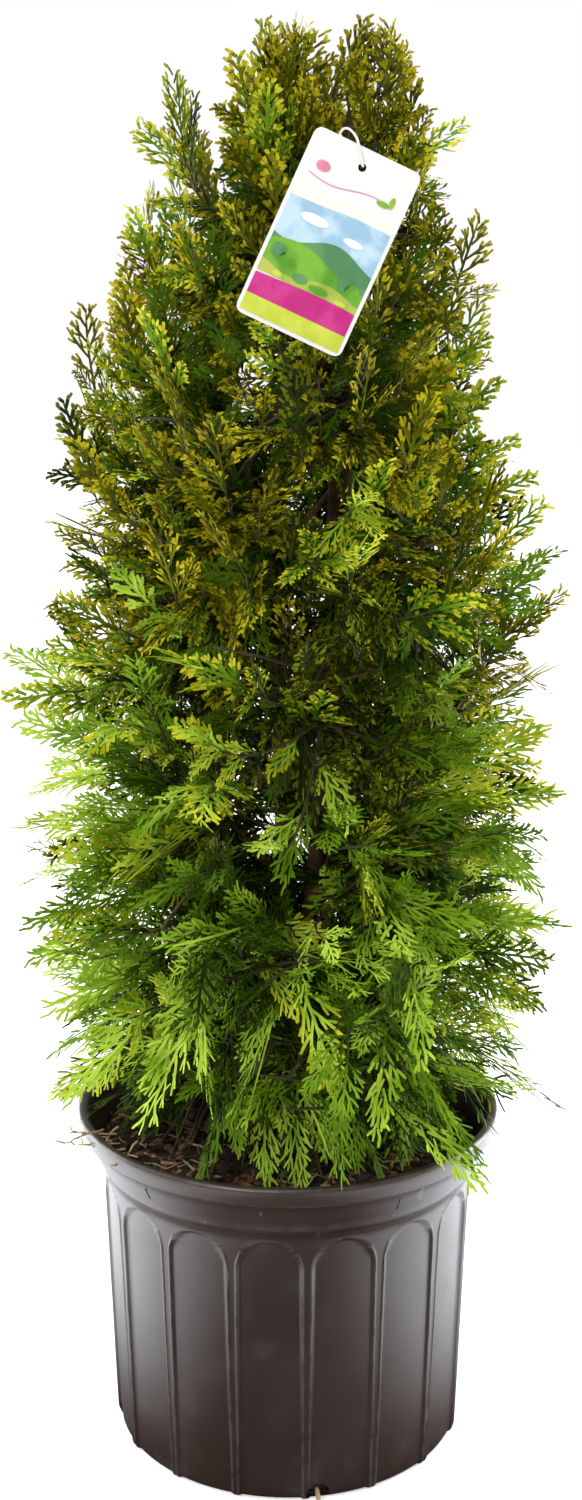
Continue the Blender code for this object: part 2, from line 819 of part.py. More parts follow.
def spray_shape(root, heading, across, length, width):
    """A spray as a closed fan-shaped blade, thickest in its middle."""
    normal = heading.cross(across).normalized()
    middle = root + heading * length * SPRAY_MIDDLE
    shape = bmesh.new()
    corners = spray_corners(root, heading, across, length, width)
    rim = [shape.verts.new(point) for point in corners]
    for sign in (1, -1):
        crest = shape.verts.new(middle + normal * sign * SPRAY_THICKNESS / 2)
        for start, end in zip(rim, [*rim[1:], rim[0]]):
            shape.faces.new((start, end, crest))
    bmesh.ops.recalc_face_normals(shape, faces=shape.faces)
    return shape


def twig_shape(start, end):
    """A three-sided tapering twig along two rows."""
    heading = end.xyz - start.xyz
    shape = bmesh.new()
    bmesh.ops.create_cone(
        shape,
        cap_ends=True,
        segments=TWIG_SIDES,
        radius1=start[3],
        radius2=end[3],
        depth=heading.length,
    )
    turn = heading.to_track_quat("Z", "Y").to_matrix().to_4x4()
    turn.translation = (start.xyz + end.xyz) / 2
    bmesh.ops.transform(shape, matrix=turn, verts=shape.verts)
    return shape


def add_shape(shape, name, group):
    """Puts a closed shape into a collection as an object of its own."""
    mesh = bpy.data.meshes.new(name)
    shape.to_mesh(mesh)
    shape.free()
    return linked(name, mesh, group)


def best_root(places, end, wish):
    """The place that a spray ending here would best grow from."""

    def cost(place):
        reach = end - place
        off_length = abs(reach.length / SPRAY_LENGTH - 1)
        return off_length * LENGTH_WEIGHT - reach.normalized().dot(wish)

    return min(places, key=cost)


def spray_wish(end, rng):
    """The way a spray ending here would like to point: out from the axis, rising with height."""
    aside, up = (rng.uniform(-stray, stray) for stray in SPRAY_STRAY_DEG)
    way = math.degrees(math.atan2(end.y, end.x)) + aside
    rise = math.radians(blended(RISE_BY_HEIGHT, end.z) + up)
    return bearing(way) * math.cos(rise) + Vector((0, 0, math.sin(rise)))


def grow_spray(end, places, mass, masses, limbs, crossed, rng):
    """The first of a few tries at a spray near this end that crosses nothing, or None."""
    for attempt in range(SPRAY_TRIES):
        slack = attempt / SPRAY_TRIES
        depth = SPRAY_DEPTH * rng.random() * slack
        tip = end.lerp(Vector((mass.middle.x, mass.middle.y, end.z)), depth)
        root = best_root(places, tip, spray_wish(end, rng))
        heading, length = (tip - root).normalized(), (tip - root).length
        if not SPRAY_SHORTEST < length < SPRAY_LONGEST:
            continue
        widest, narrowest = SPRAY_WIDTH_SHARES
        width = length * (widest + (narrowest - widest) * slack)
        roll = rng.uniform(-SPRAY_ROLL, SPRAY_ROLL)
        level = heading.cross(Vector((0, 0, 1))).normalized()
        across = level * math.sin(roll) + level.cross(heading) * math.cos(roll)
        shape = spray_shape(root, heading, across, length, width)
        outside = [vert.co for vert in shape.verts if (vert.co - root).length > SPRAY_FREE]
        edge = [(a + b) / 2 for a, b in zip(outside, outside[1:])]
        tree = BVHTree.FromBMesh(shape)
        if fits([*outside, *edge], mass, masses, limbs) and not hits(tree, crossed):
            crossed.append(tree)
            places.remove(root)
            return shape
        shape.free()
    return None


def grow_sprays(mass, masses, limbs, solids, rng):
    """Yields the closed sprays that reach the mass's share of the crown's outer places."""
    places = places_on([mass.stem[1:], *mass.twigs])
    crossed = list(solids)
    for end in mass.ends:
        shape = grow_spray(end, places, mass, masses, limbs, crossed, rng)
        if shape:
            yield shape


def make_mass(mass, masses, limbs, solids, collection, rng):
    """The solid of one mass: its stem and twigs with the sprays fused on."""
    group = new_collection("growing")
    body = tube(mass.name, mass.stem, collection, "foliage", resolution=0)
    grow_twigs(mass, masses, limbs)
    if mass.name == TAG_TWIG_MASS:
        rows = [Vector((*mass.stem[1].xyz, TWIG_RADIUS))]
        rows += [Vector((*on_tag(place), TWIG_RADIUS)) for place in TAG_TWIG]
        mass.twigs.append(rows)
    for twig in mass.twigs:
        if len(twig) > 2:
            tube("tag_twig", twig, group, None)
        else:
            add_shape(twig_shape(*twig), "twig", group)
    for shape in grow_sprays(mass, masses, limbs, solids, rng):
        add_shape(shape, "spray", group)
    solid = boolean(body, "UNION", group=group, solver="MANIFOLD")
    remove_collection(group)
    return solid


def make_limb(name, line, parent, collection, helpers, resolution=1):
    """A bark limb, cut clear of the parent that it starts in."""
    limb = tube(name, line, collection, "bark", resolution=resolution)
    if parent is not None:
        seat = tube(name + "_seat", parent, helpers, None, extra=SEAT_GAP, resolution=2)
        limb = boolean(limb, "DIFFERENCE", seat)
        bpy.data.objects.remove(seat)
    shade_round(limb, 60)
    return limb


def cut_level(obj, height):
    """Cuts off what lies below a height and closes the cut flat."""
    shape = bmesh.new()
    shape.from_mesh(obj.data)
    geometry = [*shape.verts, *shape.edges, *shape.faces]
    cut = bmesh.ops.bisect_plane(
        shape, geom=geometry, plane_co=(0, 0, height), plane_no=(0, 0, 1), clear_inner=True
    )
    edges = [item for item in cut["geom_cut"] if isinstance(item, bmesh.types.BMEdge)]
    bmesh.ops.contextual_create(shape, geom=edges)
    bmesh.ops.recalc_face_normals(shape, faces=shape.faces)
    shape.to_mesh(obj.data)
    shape.free()


def tag_outline():
    """Round-cornered outline of the tag about its hole."""
    half_width, top = TAG_WIDTH / 2 - TAG_CORNER, TAG_HOLE_DROP - TAG_CORNER
    foot = TAG_HOLE_DROP - TAG_HEIGHT + TAG_CORNER
    outline = []
    corners = ((half_width, top), (-half_width, top), (-half_width, foot), (half_width, foot))
    for quarter, (x, y) in enumerate(corners):
        for step in range(TAG_CORNER_STEPS + 1):
            angle = math.radians(90 * (quarter + step / TAG_CORNER_STEPS))
            outline.append((x + TAG_CORNER * math.cos(angle), y + TAG_CORNER * math.sin(angle)))
    return outline


def make_tag(collection, helpers):
    """The hang tag: a card with round corners and a punched hole."""
    card = flat_prism("tag", tag_outline(), TAG_THICKNESS, collection)
    card = frozen(card, "tag", collection, "tag_card")
    bpy.ops.mesh.primitive_cylinder_add(
        vertices=ROUND_CUT_SIDES, radius=TAG_HOLE_RADIUS, depth=4 * TAG_THICKNESS
    )
    hole = frozen(bpy.context.object, "tag_hole", helpers, None)
    card = boolean(card, "DIFFERENCE", hole)
    across, up, out = tag_axes()
    for vertex in card.data.vertices:
        x, y, z = vertex.co
        vertex.co = Vector(TAG_HOLE) + across * x + up * y + out * z
    return card


def make_tie(collection):
    """The tie: a closed loop of thin round plastic."""
    curve = bpy.data.curves.new("tag_tie", "CURVE")
    curve.dimensions = "3D"
    curve.bevel_depth = TIE_RADIUS
    curve.bevel_resolution = 1
    loop = tie_line()
    spline = curve.splines.new("POLY")
    spline.points.add(len(loop) - 1)
    spline.use_cyclic_u = True
    for point, place in zip(spline.points, loop):
        point.co = (*place, 1.0)
    tie = frozen(linked("tag_tie", curve, collection), "tag_tie", collection, "tie_plastic")
    shade_round(tie, 60)
    return tie


def main():
    """Builds every solid of the potted plant."""
    clear_scene()
    plant = new_collection("potted_arborvitae")
    helpers = new_collection("helpers")
    pot = make_pot(plant, helpers)
    solids = [tree_of(obj) for obj in (pot, make_tag(plant, helpers), make_tie(plant))]
    make_soil(plant)

    trunk = smooth_line(TRUNK_LINE, STEM_SPACING)
    leader = smooth_line(LEADER_LINE, STEM_SPACING)
    foot = make_limb("trunk", trunk, None, plant, helpers, resolution=2)
    cut_level(foot, SOIL_HEIGHT + GAP)
    make_limb("second_leader", leader, trunk, plant, helpers, resolution=2)

    sides, plumes = side_masses(), plume_masses()
    for mass in sides:
        route_side_mass(mass, trunk, leader)
        make_limb(mass.name.replace("mass", "bough"), mass.bough, mass.parent, plant, helpers)
    for mass, stem, row in zip(plumes, (trunk, leader), PLUMES):
        route_plume(mass, stem, row[-1])

    rng = random.Random(SEED)
    masses = [*sides, *plumes]
    share_out(spray_ends(), masses)
    limbs = [trunk, leader, *(mass.bough for mass in sides)]
    for mass in masses:
        make_mass(mass, masses, limbs, solids, plant, rng)
    remove_collection(helpers)


main()
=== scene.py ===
"""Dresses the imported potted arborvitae: flat fans of scale leaves, fibrous bark, a fluted pot.

The foliage follows the rule of the solids it stands for. Masses climb in a spiral round two
leading stems, each keeps to its own bough, and fans end on the crown's outer places. Here the
rule goes on to finer twigs and to thousands of branchlets.
"""

import json
import logging
import math
import random
from dataclasses import dataclass, field
from enum import Enum

import bpy
import numpy as np
from mathutils import Euler, Matrix, Vector, noise

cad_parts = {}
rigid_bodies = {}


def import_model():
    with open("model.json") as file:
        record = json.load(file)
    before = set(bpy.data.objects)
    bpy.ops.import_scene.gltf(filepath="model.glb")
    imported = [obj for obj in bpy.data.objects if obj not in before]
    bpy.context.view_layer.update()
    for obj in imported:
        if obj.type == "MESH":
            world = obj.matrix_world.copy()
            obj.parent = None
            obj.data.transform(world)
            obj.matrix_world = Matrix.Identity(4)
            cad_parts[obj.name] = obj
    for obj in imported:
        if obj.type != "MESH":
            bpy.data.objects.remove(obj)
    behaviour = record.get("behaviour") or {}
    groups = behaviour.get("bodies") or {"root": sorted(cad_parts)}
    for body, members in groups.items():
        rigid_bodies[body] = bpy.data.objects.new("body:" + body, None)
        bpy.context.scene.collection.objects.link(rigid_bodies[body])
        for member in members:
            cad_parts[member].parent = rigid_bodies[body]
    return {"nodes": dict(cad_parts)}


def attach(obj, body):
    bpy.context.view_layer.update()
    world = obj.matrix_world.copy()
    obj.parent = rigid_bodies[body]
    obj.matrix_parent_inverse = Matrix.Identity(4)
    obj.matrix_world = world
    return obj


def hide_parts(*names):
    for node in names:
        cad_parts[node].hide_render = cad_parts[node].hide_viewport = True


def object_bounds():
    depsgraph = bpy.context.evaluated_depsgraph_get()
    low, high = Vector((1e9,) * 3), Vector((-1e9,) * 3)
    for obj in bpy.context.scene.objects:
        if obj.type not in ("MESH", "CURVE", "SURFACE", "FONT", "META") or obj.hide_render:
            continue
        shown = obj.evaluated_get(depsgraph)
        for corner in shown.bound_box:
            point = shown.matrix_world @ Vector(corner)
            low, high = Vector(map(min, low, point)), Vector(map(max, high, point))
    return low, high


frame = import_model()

CAD_BOX = [list(corner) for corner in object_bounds()]
LOG = logging.getLogger("potted_arborvitae")
Colour = tuple[float, float, float]
Faces = list[tuple[int, ...]]
Rows = np.ndarray
Socket = bpy.types.NodeSocket
BODY = "root"
GOLDEN_DEG = 137.508
WHITE = (1.0, 1.0, 1.0)
EVEN = (1.0, 1.0, 1.0)
FLOAT, VECTOR, COLOUR = "NodeSocketFloat", "NodeSocketVector", "NodeSocketColor"


class LeafTone(Enum):
    """Plain base colours of the foliage, dealt out by spray."""

    GOLD = "gold"
    YELLOW = "yellow"
    LIME = "lime"
    FERN = "fern"
    GREEN = "green"
    OLIVE = "olive"
    DEEP = "deep"


class FanKind(Enum):
    """Fans by the tones of their inner part, their middle and their tips."""

    GOLDEN = (LeafTone.OLIVE, LeafTone.OLIVE, LeafTone.GOLD)
    TAWNY = (LeafTone.GREEN, LeafTone.FERN, LeafTone.YELLOW)
    SUNNY = (LeafTone.FERN, LeafTone.LIME, LeafTone.YELLOW)
    BRIGHT = (LeafTone.FERN, LeafTone.LIME, LeafTone.LIME)
    FRESH = (LeafTone.GREEN, LeafTone.FERN, LeafTone.FERN)
    DULL = (LeafTone.DEEP, LeafTone.GREEN, LeafTone.GREEN)
    SHADE = (LeafTone.DEEP, LeafTone.DEEP, LeafTone.OLIVE)
    GLOOM = (LeafTone.DEEP, LeafTone.DEEP, LeafTone.GREEN)


# What a fan becomes where it stands at the shaded foot of its branch: a darker kind, which paints that
# shade.
DARKER = {
    FanKind.BRIGHT: FanKind.FRESH,
    FanKind.FRESH: FanKind.DULL,
    FanKind.SUNNY: FanKind.FRESH,
    FanKind.GOLDEN: FanKind.DULL,
    FanKind.TAWNY: FanKind.DULL,
}


class Ink(Enum):
    """Printed colours of the hang tag, darker and lighter."""

    SKY = ((0.260, 0.430, 0.560), (0.440, 0.590, 0.680))
    CLOUD = ((0.640, 0.690, 0.720), (0.700, 0.740, 0.760))
    FAR_HILL = ((0.070, 0.200, 0.080), (0.110, 0.260, 0.100))
    NEAR_HILL = ((0.080, 0.250, 0.020), (0.170, 0.380, 0.040))
    MEADOW = ((0.240, 0.330, 0.040), (0.400, 0.430, 0.080))
    MAGENTA = ((0.420, 0.020, 0.160), (0.500, 0.040, 0.220))
    FOOT = ((0.420, 0.480, 0.040), (0.500, 0.560, 0.070))
    ROSE = ((0.560, 0.180, 0.260), (0.620, 0.240, 0.330))
    HEADER = ((0.680, 0.670, 0.590), (0.720, 0.710, 0.650))


# Shader nodes


class NodeBench:
    """Short ways to add nodes to one tree and to join them."""

    def __init__(self, tree: bpy.types.NodeTree) -> None:
        """Works on this tree."""
        self.tree = tree

    def feed(self, node: bpy.types.Node, inputs: dict) -> None:
        """Sets a node's inputs, by name or number, to values or to other nodes' sockets."""
        for name, value in inputs.items():
            if isinstance(value, Socket):
                self.tree.links.new(value, node.inputs[name])
            else:
                node.inputs[name].default_value = value

    def add(self, kind: str, inputs: dict | None = None, **settings) -> bpy.types.Node:
        """Adds a node.

        Args:
            kind: The node's type name.
            inputs: Value or output socket for each input, by its name or number.
            settings: The node's own properties.

        Returns:
            The new node.
        """
        node = self.tree.nodes.new(kind)
        for name, value in settings.items():
            setattr(node, name, value)
        self.feed(node, inputs or {})
        return node

    def group(self, tree: bpy.types.NodeTree, **inputs) -> Socket:
        """What a shared group puts out when it is placed with its own values."""
        return self.add("ShaderNodeGroup", inputs, node_tree=tree).outputs[0]

    def maths(self, operation: str, *values) -> Socket:
        """The result of one operation on numbers or sockets."""
        return self.add("ShaderNodeMath", dict(enumerate(values)), operation=operation).outputs[0]

    def scaled(self, place: Socket, factors: Socket | Colour) -> Socket:
        """A place with each axis multiplied by its own factor."""
        return self.add("ShaderNodeVectorMath", {0: place, 1: factors}, operation="MULTIPLY").outputs[0]

    def mix(self, factor: Socket, first, second, kind: str = "RGBA") -> Socket:
        """Between two colours, or with kind FLOAT between two numbers, by a factor."""
        entry, result = (6, 2) if kind == "RGBA" else (2, 0)
        inputs = {0: factor, entry: first, entry + 1: second}
        return self.add("ShaderNodeMix", inputs, data_type=kind).outputs[result]

    def ramp(
        self, value: Socket, start=0.0, end=1.0, low=0.0, high=1.0, smooth: bool = False
    ) -> Socket:
        """Brings a value that lies between start and end to between low and high."""
        inputs = {"Value": value, "From Min": start, "From Max": end, "To Min": low, "To Max": high}
        kind = "SMOOTHSTEP" if smooth else "LINEAR"
        return self.add("ShaderNodeMapRange", inputs, interpolation_type=kind).outputs[0]

    def bump(self, height: Socket, strength: float, distance: float) -> Socket:
        """The normal of a surface with this height on it."""
        inputs = {"Strength": strength, "Distance": distance, "Height": height}
        return self.add("ShaderNodeBump", inputs).outputs[0]

    def attribute(self, name: str) -> Socket:
        """A number that the mesh holds at each point."""
        return self.add("ShaderNodeAttribute", attribute_name=name).outputs["Fac"]

    def object_place(self) -> Socket:
        """Where a point of the surface lies."""
        return self.add("ShaderNodeTexCoord").outputs["Object"]


def new_group(name: str, inputs: dict[str, tuple], output: str, output_kind: str) -> tuple:
    """Starts a shared shader group.

    Args:
        name: The group's name.
        inputs: Socket type and default value, by the input's name.
        output: The output's name.
        output_kind: The output's socket type.

    Returns:
        The group's bench, the sockets of its inputs by name, and its output's socket.
    """
    tree = bpy.data.node_groups.new(name, "ShaderNodeTree")
    for label, (kind, value) in inputs.items():
        socket = tree.interface.new_socket(label, in_out="INPUT", socket_type=kind)
        if value is not None:
            socket.default_value = value
    tree.interface.new_socket(output, in_out="OUTPUT", socket_type=output_kind)
    bench = NodeBench(tree)
    entry, leave = bench.add("NodeGroupInput"), bench.add("NodeGroupOutput")
    return bench, entry.outputs, leave.inputs[output]


class SharedGroups:
    """The effects that more than one finish uses, each built once."""

    def __init__(self) -> None:
        """Builds the groups."""
        self.blotch = self.build_blotch()
        self.tone = self.build_tone()
        self.fibre = self.build_fibre()

    def build_blotch(self) -> bpy.types.NodeTree:
        """A mask of soft-edged patches, for dust, stains and worn places."""
        inputs = {
            "Vector": (VECTOR, None),
            "Scale": (FLOAT, 20.0),
            "Detail": (FLOAT, 4.0),
            "Start": (FLOAT, 0.45),
            "End": (FLOAT, 0.65),
        }
        bench, given, result = new_group("blotch", inputs, "Mask", FLOAT)
        sizes = {name: given[name] for name in ("Vector", "Scale", "Detail")}
        cloud = bench.add("ShaderNodeTexNoise", sizes).outputs[0]
        bench.tree.links.new(bench.ramp(cloud, given["Start"], given["End"], smooth=True), result)
        return bench.tree

    def build_tone(self) -> bpy.types.NodeTree:
        """A base colour that drifts between two tones from place to place."""
        inputs = {
            "Vector": (VECTOR, None),
            "Scale": (FLOAT, 30.0),
            "Dark": (COLOUR, (0.1, 0.1, 0.1, 1.0)),
            "Light": (COLOUR, (0.2, 0.2, 0.2, 1.0)),
        }
        bench, given, result = new_group("tone_drift", inputs, "Colour", COLOUR)
        drift = bench.group(
            self.blotch,
            Vector=given["Vector"],
            Scale=given["Scale"],
            Detail=3.0,
            Start=0.36,
            End=0.64,
        )
        bench.tree.links.new(bench.mix(drift, given["Dark"], given["Light"]), result)
        return bench.tree

    def build_fibre(self) -> bpy.types.NodeTree:
        """The height of a grain that is drawn out along one axis."""
        inputs = {
            "Vector": (VECTOR, None),
            "Stretch": (VECTOR, (1.0, 1.0, 0.2)),
            "Scale": (FLOAT, 200.0),
        }
        bench, given, result = new_group("fibre", inputs, "Height", FLOAT)
        drawn = bench.scaled(given["Vector"], given["Stretch"])
        sizes = {"Vector": drawn, "Scale": given["Scale"], "Detail": 5.0}
        bench.tree.links.new(bench.add("ShaderNodeTexNoise", sizes).outputs[0], result)
        return bench.tree


def start_material(name: str) -> tuple[bpy.types.Material, NodeBench, bpy.types.Node]:
    """A new node material with its bench and its Principled shader."""
    made = bpy.data.materials.new(name)
    made.use_nodes = True
    return made, NodeBench(made.node_tree), made.node_tree.nodes["Principled BSDF"]


def opaque(colour: Colour) -> tuple[float, float, float, float]:
    """A colour with full alpha."""
    return (*colour, 1.0)


@dataclass(frozen=True)
class GrainedFinish:
    """A finish whose colour drifts and whose surface has a drawn-out grain."""

    name: str
    dark: Colour
    light: Colour
    roughness: float
    drift_scale: float = 30.0
    grain_scale: float = 300.0
    stretch: Colour = (1.0, 1.0, 0.3)
    bump: float = 0.3
    bump_height: float = 0.0006
    specular: float = 0.4

    def material(self, groups: SharedGroups) -> bpy.types.Material:
        """Builds the node material of this finish."""
        made, bench, shader = start_material(self.name)
        place = bench.object_place()
        dark, light = opaque(self.dark), opaque(self.light)
        grain = bench.group(groups.fibre, Vector=place, Stretch=self.stretch, Scale=self.grain_scale)
        finish = {
            "Base Color": bench.group(
                groups.tone, Vector=place, Scale=self.drift_scale, Dark=dark, Light=light
            ),
            "Normal": bench.bump(grain, self.bump, self.bump_height),
            "Roughness": self.roughness,
            "Specular IOR Level": self.specular,
        }
        bench.feed(shader, finish)
        return made


@dataclass(frozen=True)
class Patches:
    """The scale, detail, start and end of a mask of patches."""

    scale: float
    detail: float
    start: float
    end: float

    def mask(self, bench: NodeBench, groups: SharedGroups, place: Socket) -> Socket:
        """Places the shared group with these values."""
        return bench.group(
            groups.blotch,
            Vector=place,
            Scale=self.scale,
            Detail=self.detail,
            Start=self.start,
            End=self.end,
        )


@dataclass(frozen=True)
class PotFinish:
    """Black moulded plastic with a fine grain, dust in patches and scuffs; painted highlights along its
    edges and painted shade as duller gloss in its grooves.
    """

    name: str = "pot_black_plastic"
    dark: Colour = (0.0200, 0.0090, 0.0052)
    light: Colour = (0.0280, 0.0150, 0.0105)
    drift_scale: float = 9.0
    dust: Colour = (0.045, 0.034, 0.029)
    dust_patches: Patches = Patches(34.0, 9.0, 0.50, 0.82)
    dust_height: float = 0.10
    dust_low: float = 0.75
    dust_high: float = 0.28
    scuff: Colour = (0.090, 0.088, 0.092)
    scuff_streaks: Patches = Patches(150.0, 2.0, 0.69, 0.74)
    scuff_stretch: Colour = (1.0, 1.0, 0.12)
    scuff_patches: Patches = Patches(11.0, 2.0, 0.52, 0.62)
    # Colour of the painted highlight along the beads, the lip and the collar's foot, in patches.
    edge: Colour = (0.135, 0.128, 0.128)
    highlight_patches: Patches = Patches(120.0, 3.0, 0.30, 0.62)
    grain_scale: float = 900.0
    bump: float = 0.22
    bump_height: float = 0.0003
    roughness: float = 0.34
    dust_roughness: float = 0.34
    specular: float = 0.70
    # Share of the gloss left in the grooves: painted shade under the lip and the collar.
    groove_shade_share: float = 0.2

    def material(self, groups: SharedGroups) -> bpy.types.Material:
        """Builds the node material of this finish."""
        made, bench, shader = start_material(self.name)
        place = bench.object_place()
        height = bench.add("ShaderNodeSeparateXYZ", {0: place}).outputs[2]
        low = bench.ramp(height, 0.0, self.dust_height, self.dust_low, self.dust_high)
        dusty = bench.maths("MULTIPLY", self.dust_patches.mask(bench, groups, place), low)
        streaks = self.scuff_streaks.mask(bench, groups, bench.scaled(place, self.scuff_stretch))
        scuffed = bench.maths("MULTIPLY", streaks, self.scuff_patches.mask(bench, groups, place))
        # Lighter colour along the beads and rings, in patches: painted highlight.
        highlight_breakup = self.highlight_patches.mask(bench, groups, place)
        painted_highlight = bench.maths("MULTIPLY", bench.attribute("edge_wear"), highlight_breakup)
        dark, light = opaque(self.dark), opaque(self.light)
        colour = bench.group(groups.tone, Vector=place, Scale=self.drift_scale, Dark=dark, Light=light)
        for mask, layer in ((dusty, self.dust), (scuffed, self.scuff), (painted_highlight, self.edge)):
            colour = bench.mix(mask, colour, opaque(layer))
        grain = bench.group(groups.fibre, Vector=place, Stretch=EVEN, Scale=self.grain_scale)
        roughest = self.roughness + self.dust_roughness
        # Duller gloss in the grooves: painted shade under the lip and the collar.
        shaded_gloss = self.specular * self.groove_shade_share
        finish = {
            "Base Color": colour,
            "Roughness": bench.ramp(dusty, low=self.roughness, high=roughest),
            "Specular IOR Level": bench.ramp(
                bench.attribute("groove"), low=self.specular, high=shaded_gloss
            ),
            "Normal": bench.bump(grain, self.bump, self.bump_height),
        }
        bench.feed(shader, finish)
        return made


class Finishes:
    """Every finish of the potted plant, by name."""

    LEAVES: dict[LeafTone, tuple[Colour, Colour]] = {
        LeafTone.GOLD: ((0.195, 0.172, 0.001), (0.425, 0.365, 0.008)),
        LeafTone.YELLOW: ((0.270, 0.290, 0.003), (0.560, 0.550, 0.030)),
        LeafTone.LIME: ((0.175, 0.315, 0.011), (0.450, 0.620, 0.065)),
        LeafTone.FERN: ((0.072, 0.150, 0.003), (0.170, 0.300, 0.012)),
        LeafTone.GREEN: ((0.026, 0.062, 0.001), (0.064, 0.130, 0.004)),
        LeafTone.OLIVE: ((0.052, 0.062, 0.001), (0.125, 0.138, 0.003)),
        LeafTone.DEEP: ((0.007, 0.014, 0.0005), (0.018, 0.031, 0.001)),
    }

    def __init__(self) -> None:
        """Builds the shared groups and each finish's material."""
        groups = SharedGroups()
        self.leaves = {
            tone: GrainedFinish(
                f"foliage_{tone.value}", dark, light, 0.55, 26.0, 750.0, EVEN, 0.35, specular=0.07
            ).material(groups)
            for tone, (dark, light) in self.LEAVES.items()
        }
        self.pot = PotFinish().material(groups)
        plain = {
            "bark": ((0.085, 0.040, 0.022), (0.210, 0.115, 0.065), 0.85, 60.0, 420.0, 0.9),
            "twig": ((0.024, 0.020, 0.006), (0.060, 0.048, 0.014), 0.80, 50.0, 500.0, 0.5),
            "soil": ((0.012, 0.007, 0.004), (0.050, 0.028, 0.015), 0.95, 160.0, 260.0, 1.0),
            "chip_dark": ((0.014, 0.008, 0.005), (0.048, 0.026, 0.014), 0.9, 90.0, 400.0, 0.7),
            "chip_brown": ((0.095, 0.040, 0.016), (0.230, 0.110, 0.048), 0.9, 90.0, 400.0, 0.7),
            "chip_tan": ((0.210, 0.130, 0.060), (0.420, 0.290, 0.160), 0.85, 90.0, 400.0, 0.5),
            "straw": ((0.280, 0.190, 0.090), (0.520, 0.390, 0.210), 0.7, 70.0, 500.0, 0.4),
            "card": ((0.660, 0.660, 0.640), (0.720, 0.720, 0.700), 0.38, 12.0, 900.0, 0.1),
            "tie": ((0.600, 0.590, 0.550), (0.700, 0.690, 0.650), 0.35, 40.0, 900.0, 0.1),
        }
        self.plain = {
            name: GrainedFinish(name, dark, light, rough, drift, grain, bump=bump).material(groups)
            for name, (dark, light, rough, drift, grain, bump) in plain.items()
        }
        self.prints = {
            ink.name: GrainedFinish(
                f"print_{ink.name.lower()}", ink.value[0], ink.value[1], 0.32, 70.0, 900.0, bump=0.05
            ).material(groups)
            for ink in Ink
        }


# Meshes


class MeshPile:
    """Points and faces gathered from many small shapes, and made one mesh."""

    def __init__(self) -> None:
        """Starts with nothing in it."""
        self.points: list[np.ndarray] = []
        self.faces: list[tuple[int, ...]] = []
        self.count = 0

    def add(self, points: np.ndarray, faces: Faces) -> None:
        """Adds one shape's points, as rows of x, y and z, and its faces."""
        self.points.append(np.asarray(points, float).reshape(-1, 3))
        self.faces += [tuple(index + self.count for index in face) for face in faces]
        self.count += len(self.points[-1])

    def mesh(self, name: str, smooth: bool = True) -> bpy.types.Mesh:
        """Makes a mesh of what was gathered."""
        mesh = bpy.data.meshes.new(name)
        mesh.from_pydata(np.vstack(self.points).tolist(), [], self.faces)
        if smooth:
            mesh.shade_smooth()
        return mesh

    def piece(self, name: str, material: bpy.types.Material, smooth: bool = True) -> bpy.types.Object:
        """Makes an object of what was gathered.

        Args:
            name: The object's name.
            material: Its only material.
            smooth: Whether it is shaded smooth.

        Returns:
            The object, linked to the scene.
        """
        mesh = self.mesh(name, smooth)
        mesh.materials.append(material)
        return linked(name, mesh)


class ShapeStore:
    """A passing collection of small shapes, to be dealt out or to cut with."""

    def __init__(self, name: str) -> None:
        """Starts it empty, in the scene."""
        self.collection = bpy.data.collections.new(name)
        bpy.context.scene.collection.children.link(self.collection)

    def add(self, name: str, mesh: bpy.types.Mesh) -> None:
        """Puts one shape in."""
        self.collection.objects.link(bpy.data.objects.new(name, mesh))

    def clear(self) -> None:
        """Removes it with its shapes."""
        for obj in list(self.collection.objects):
            bpy.data.objects.remove(obj)
        bpy.data.collections.remove(self.collection)


def linked(name: str, data: bpy.types.ID) -> bpy.types.Object:
    """An object of this data in the scene's own collection."""
    made = bpy.data.objects.new(name, data)
    bpy.context.scene.collection.objects.link(made)
    return made


def evaluated_copy(obj: bpy.types.Object, material: bpy.types.Material) -> bpy.types.Object:
    """A plain mesh object of what obj evaluates to, under obj's name; obj itself is removed."""
    name = obj.name
    bpy.context.view_layer.update()
    graph = bpy.context.evaluated_depsgraph_get()
    mesh = bpy.data.meshes.new_from_object(obj.evaluated_get(graph), depsgraph=graph)
    bpy.data.objects.remove(obj)
    if not mesh.materials:
        mesh.materials.append(material)
    mesh.name = name
    return linked(name, mesh)


def grid_faces(rows: int, columns: int, closed: bool) -> Faces:
    """Quads between rows of points; closed joins each row's last point to its first."""
    last = columns if closed else columns - 1
    return [
        (
            row * columns + column,
            row * columns + (column + 1) % columns,
            (row + 1) * columns + (column + 1) % columns,
            (row + 1) * columns + column,
        )
        for row in range(rows - 1)
        for column in range(last)
    ]


def capped_faces(rows: int, columns: int) -> Faces:
    """Faces of a closed shape made of rings, with a cap on its first and its last ring."""
    first, last = range(columns), range((rows - 1) * columns, rows * columns)
    return [*grid_faces(rows, columns, True), tuple(reversed(first)), tuple(last)]


def dress(piece: bpy.types.Object, slot: str, *nodes: str) -> bpy.types.Object:
    """Lets a piece ride on the plant and stand for solids, which it hides."""
    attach(piece, BODY)
    if nodes:
        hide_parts(*nodes)
    LOG.info("%s: %d faces", piece.name, len(piece.data.polygons))
    return piece


# Curves


def smooth_rows(rows: Rows, spacing: float) -> Rows:
    """Rows about this far apart on a smooth curve through rows of x, y, z and radius."""
    rows = np.asarray(rows, float)
    padded = np.vstack((2 * rows[0] - rows[1], rows, 2 * rows[-1] - rows[-2]))
    line = []
    for before, start, end, after in zip(padded, padded[1:], padded[2:], padded[3:]):
        steps = max(1, round(float(np.linalg.norm(end - start)) / spacing))
        for t in np.arange(steps) / steps:
            line.append(
                0.5
                * (
                    2 * start
                    + (end - before) * t
                    + (2 * before - 5 * start + 4 * end - after) * t * t
                    + (3 * start - 3 * end + after - before) * t * t * t
                )
            )
    return np.array([*line, rows[-1]])


def unit(vector: np.ndarray) -> np.ndarray:
    """The vectors at length one."""
    return vector / np.maximum(np.linalg.norm(vector, axis=-1, keepdims=True), 1e-9)


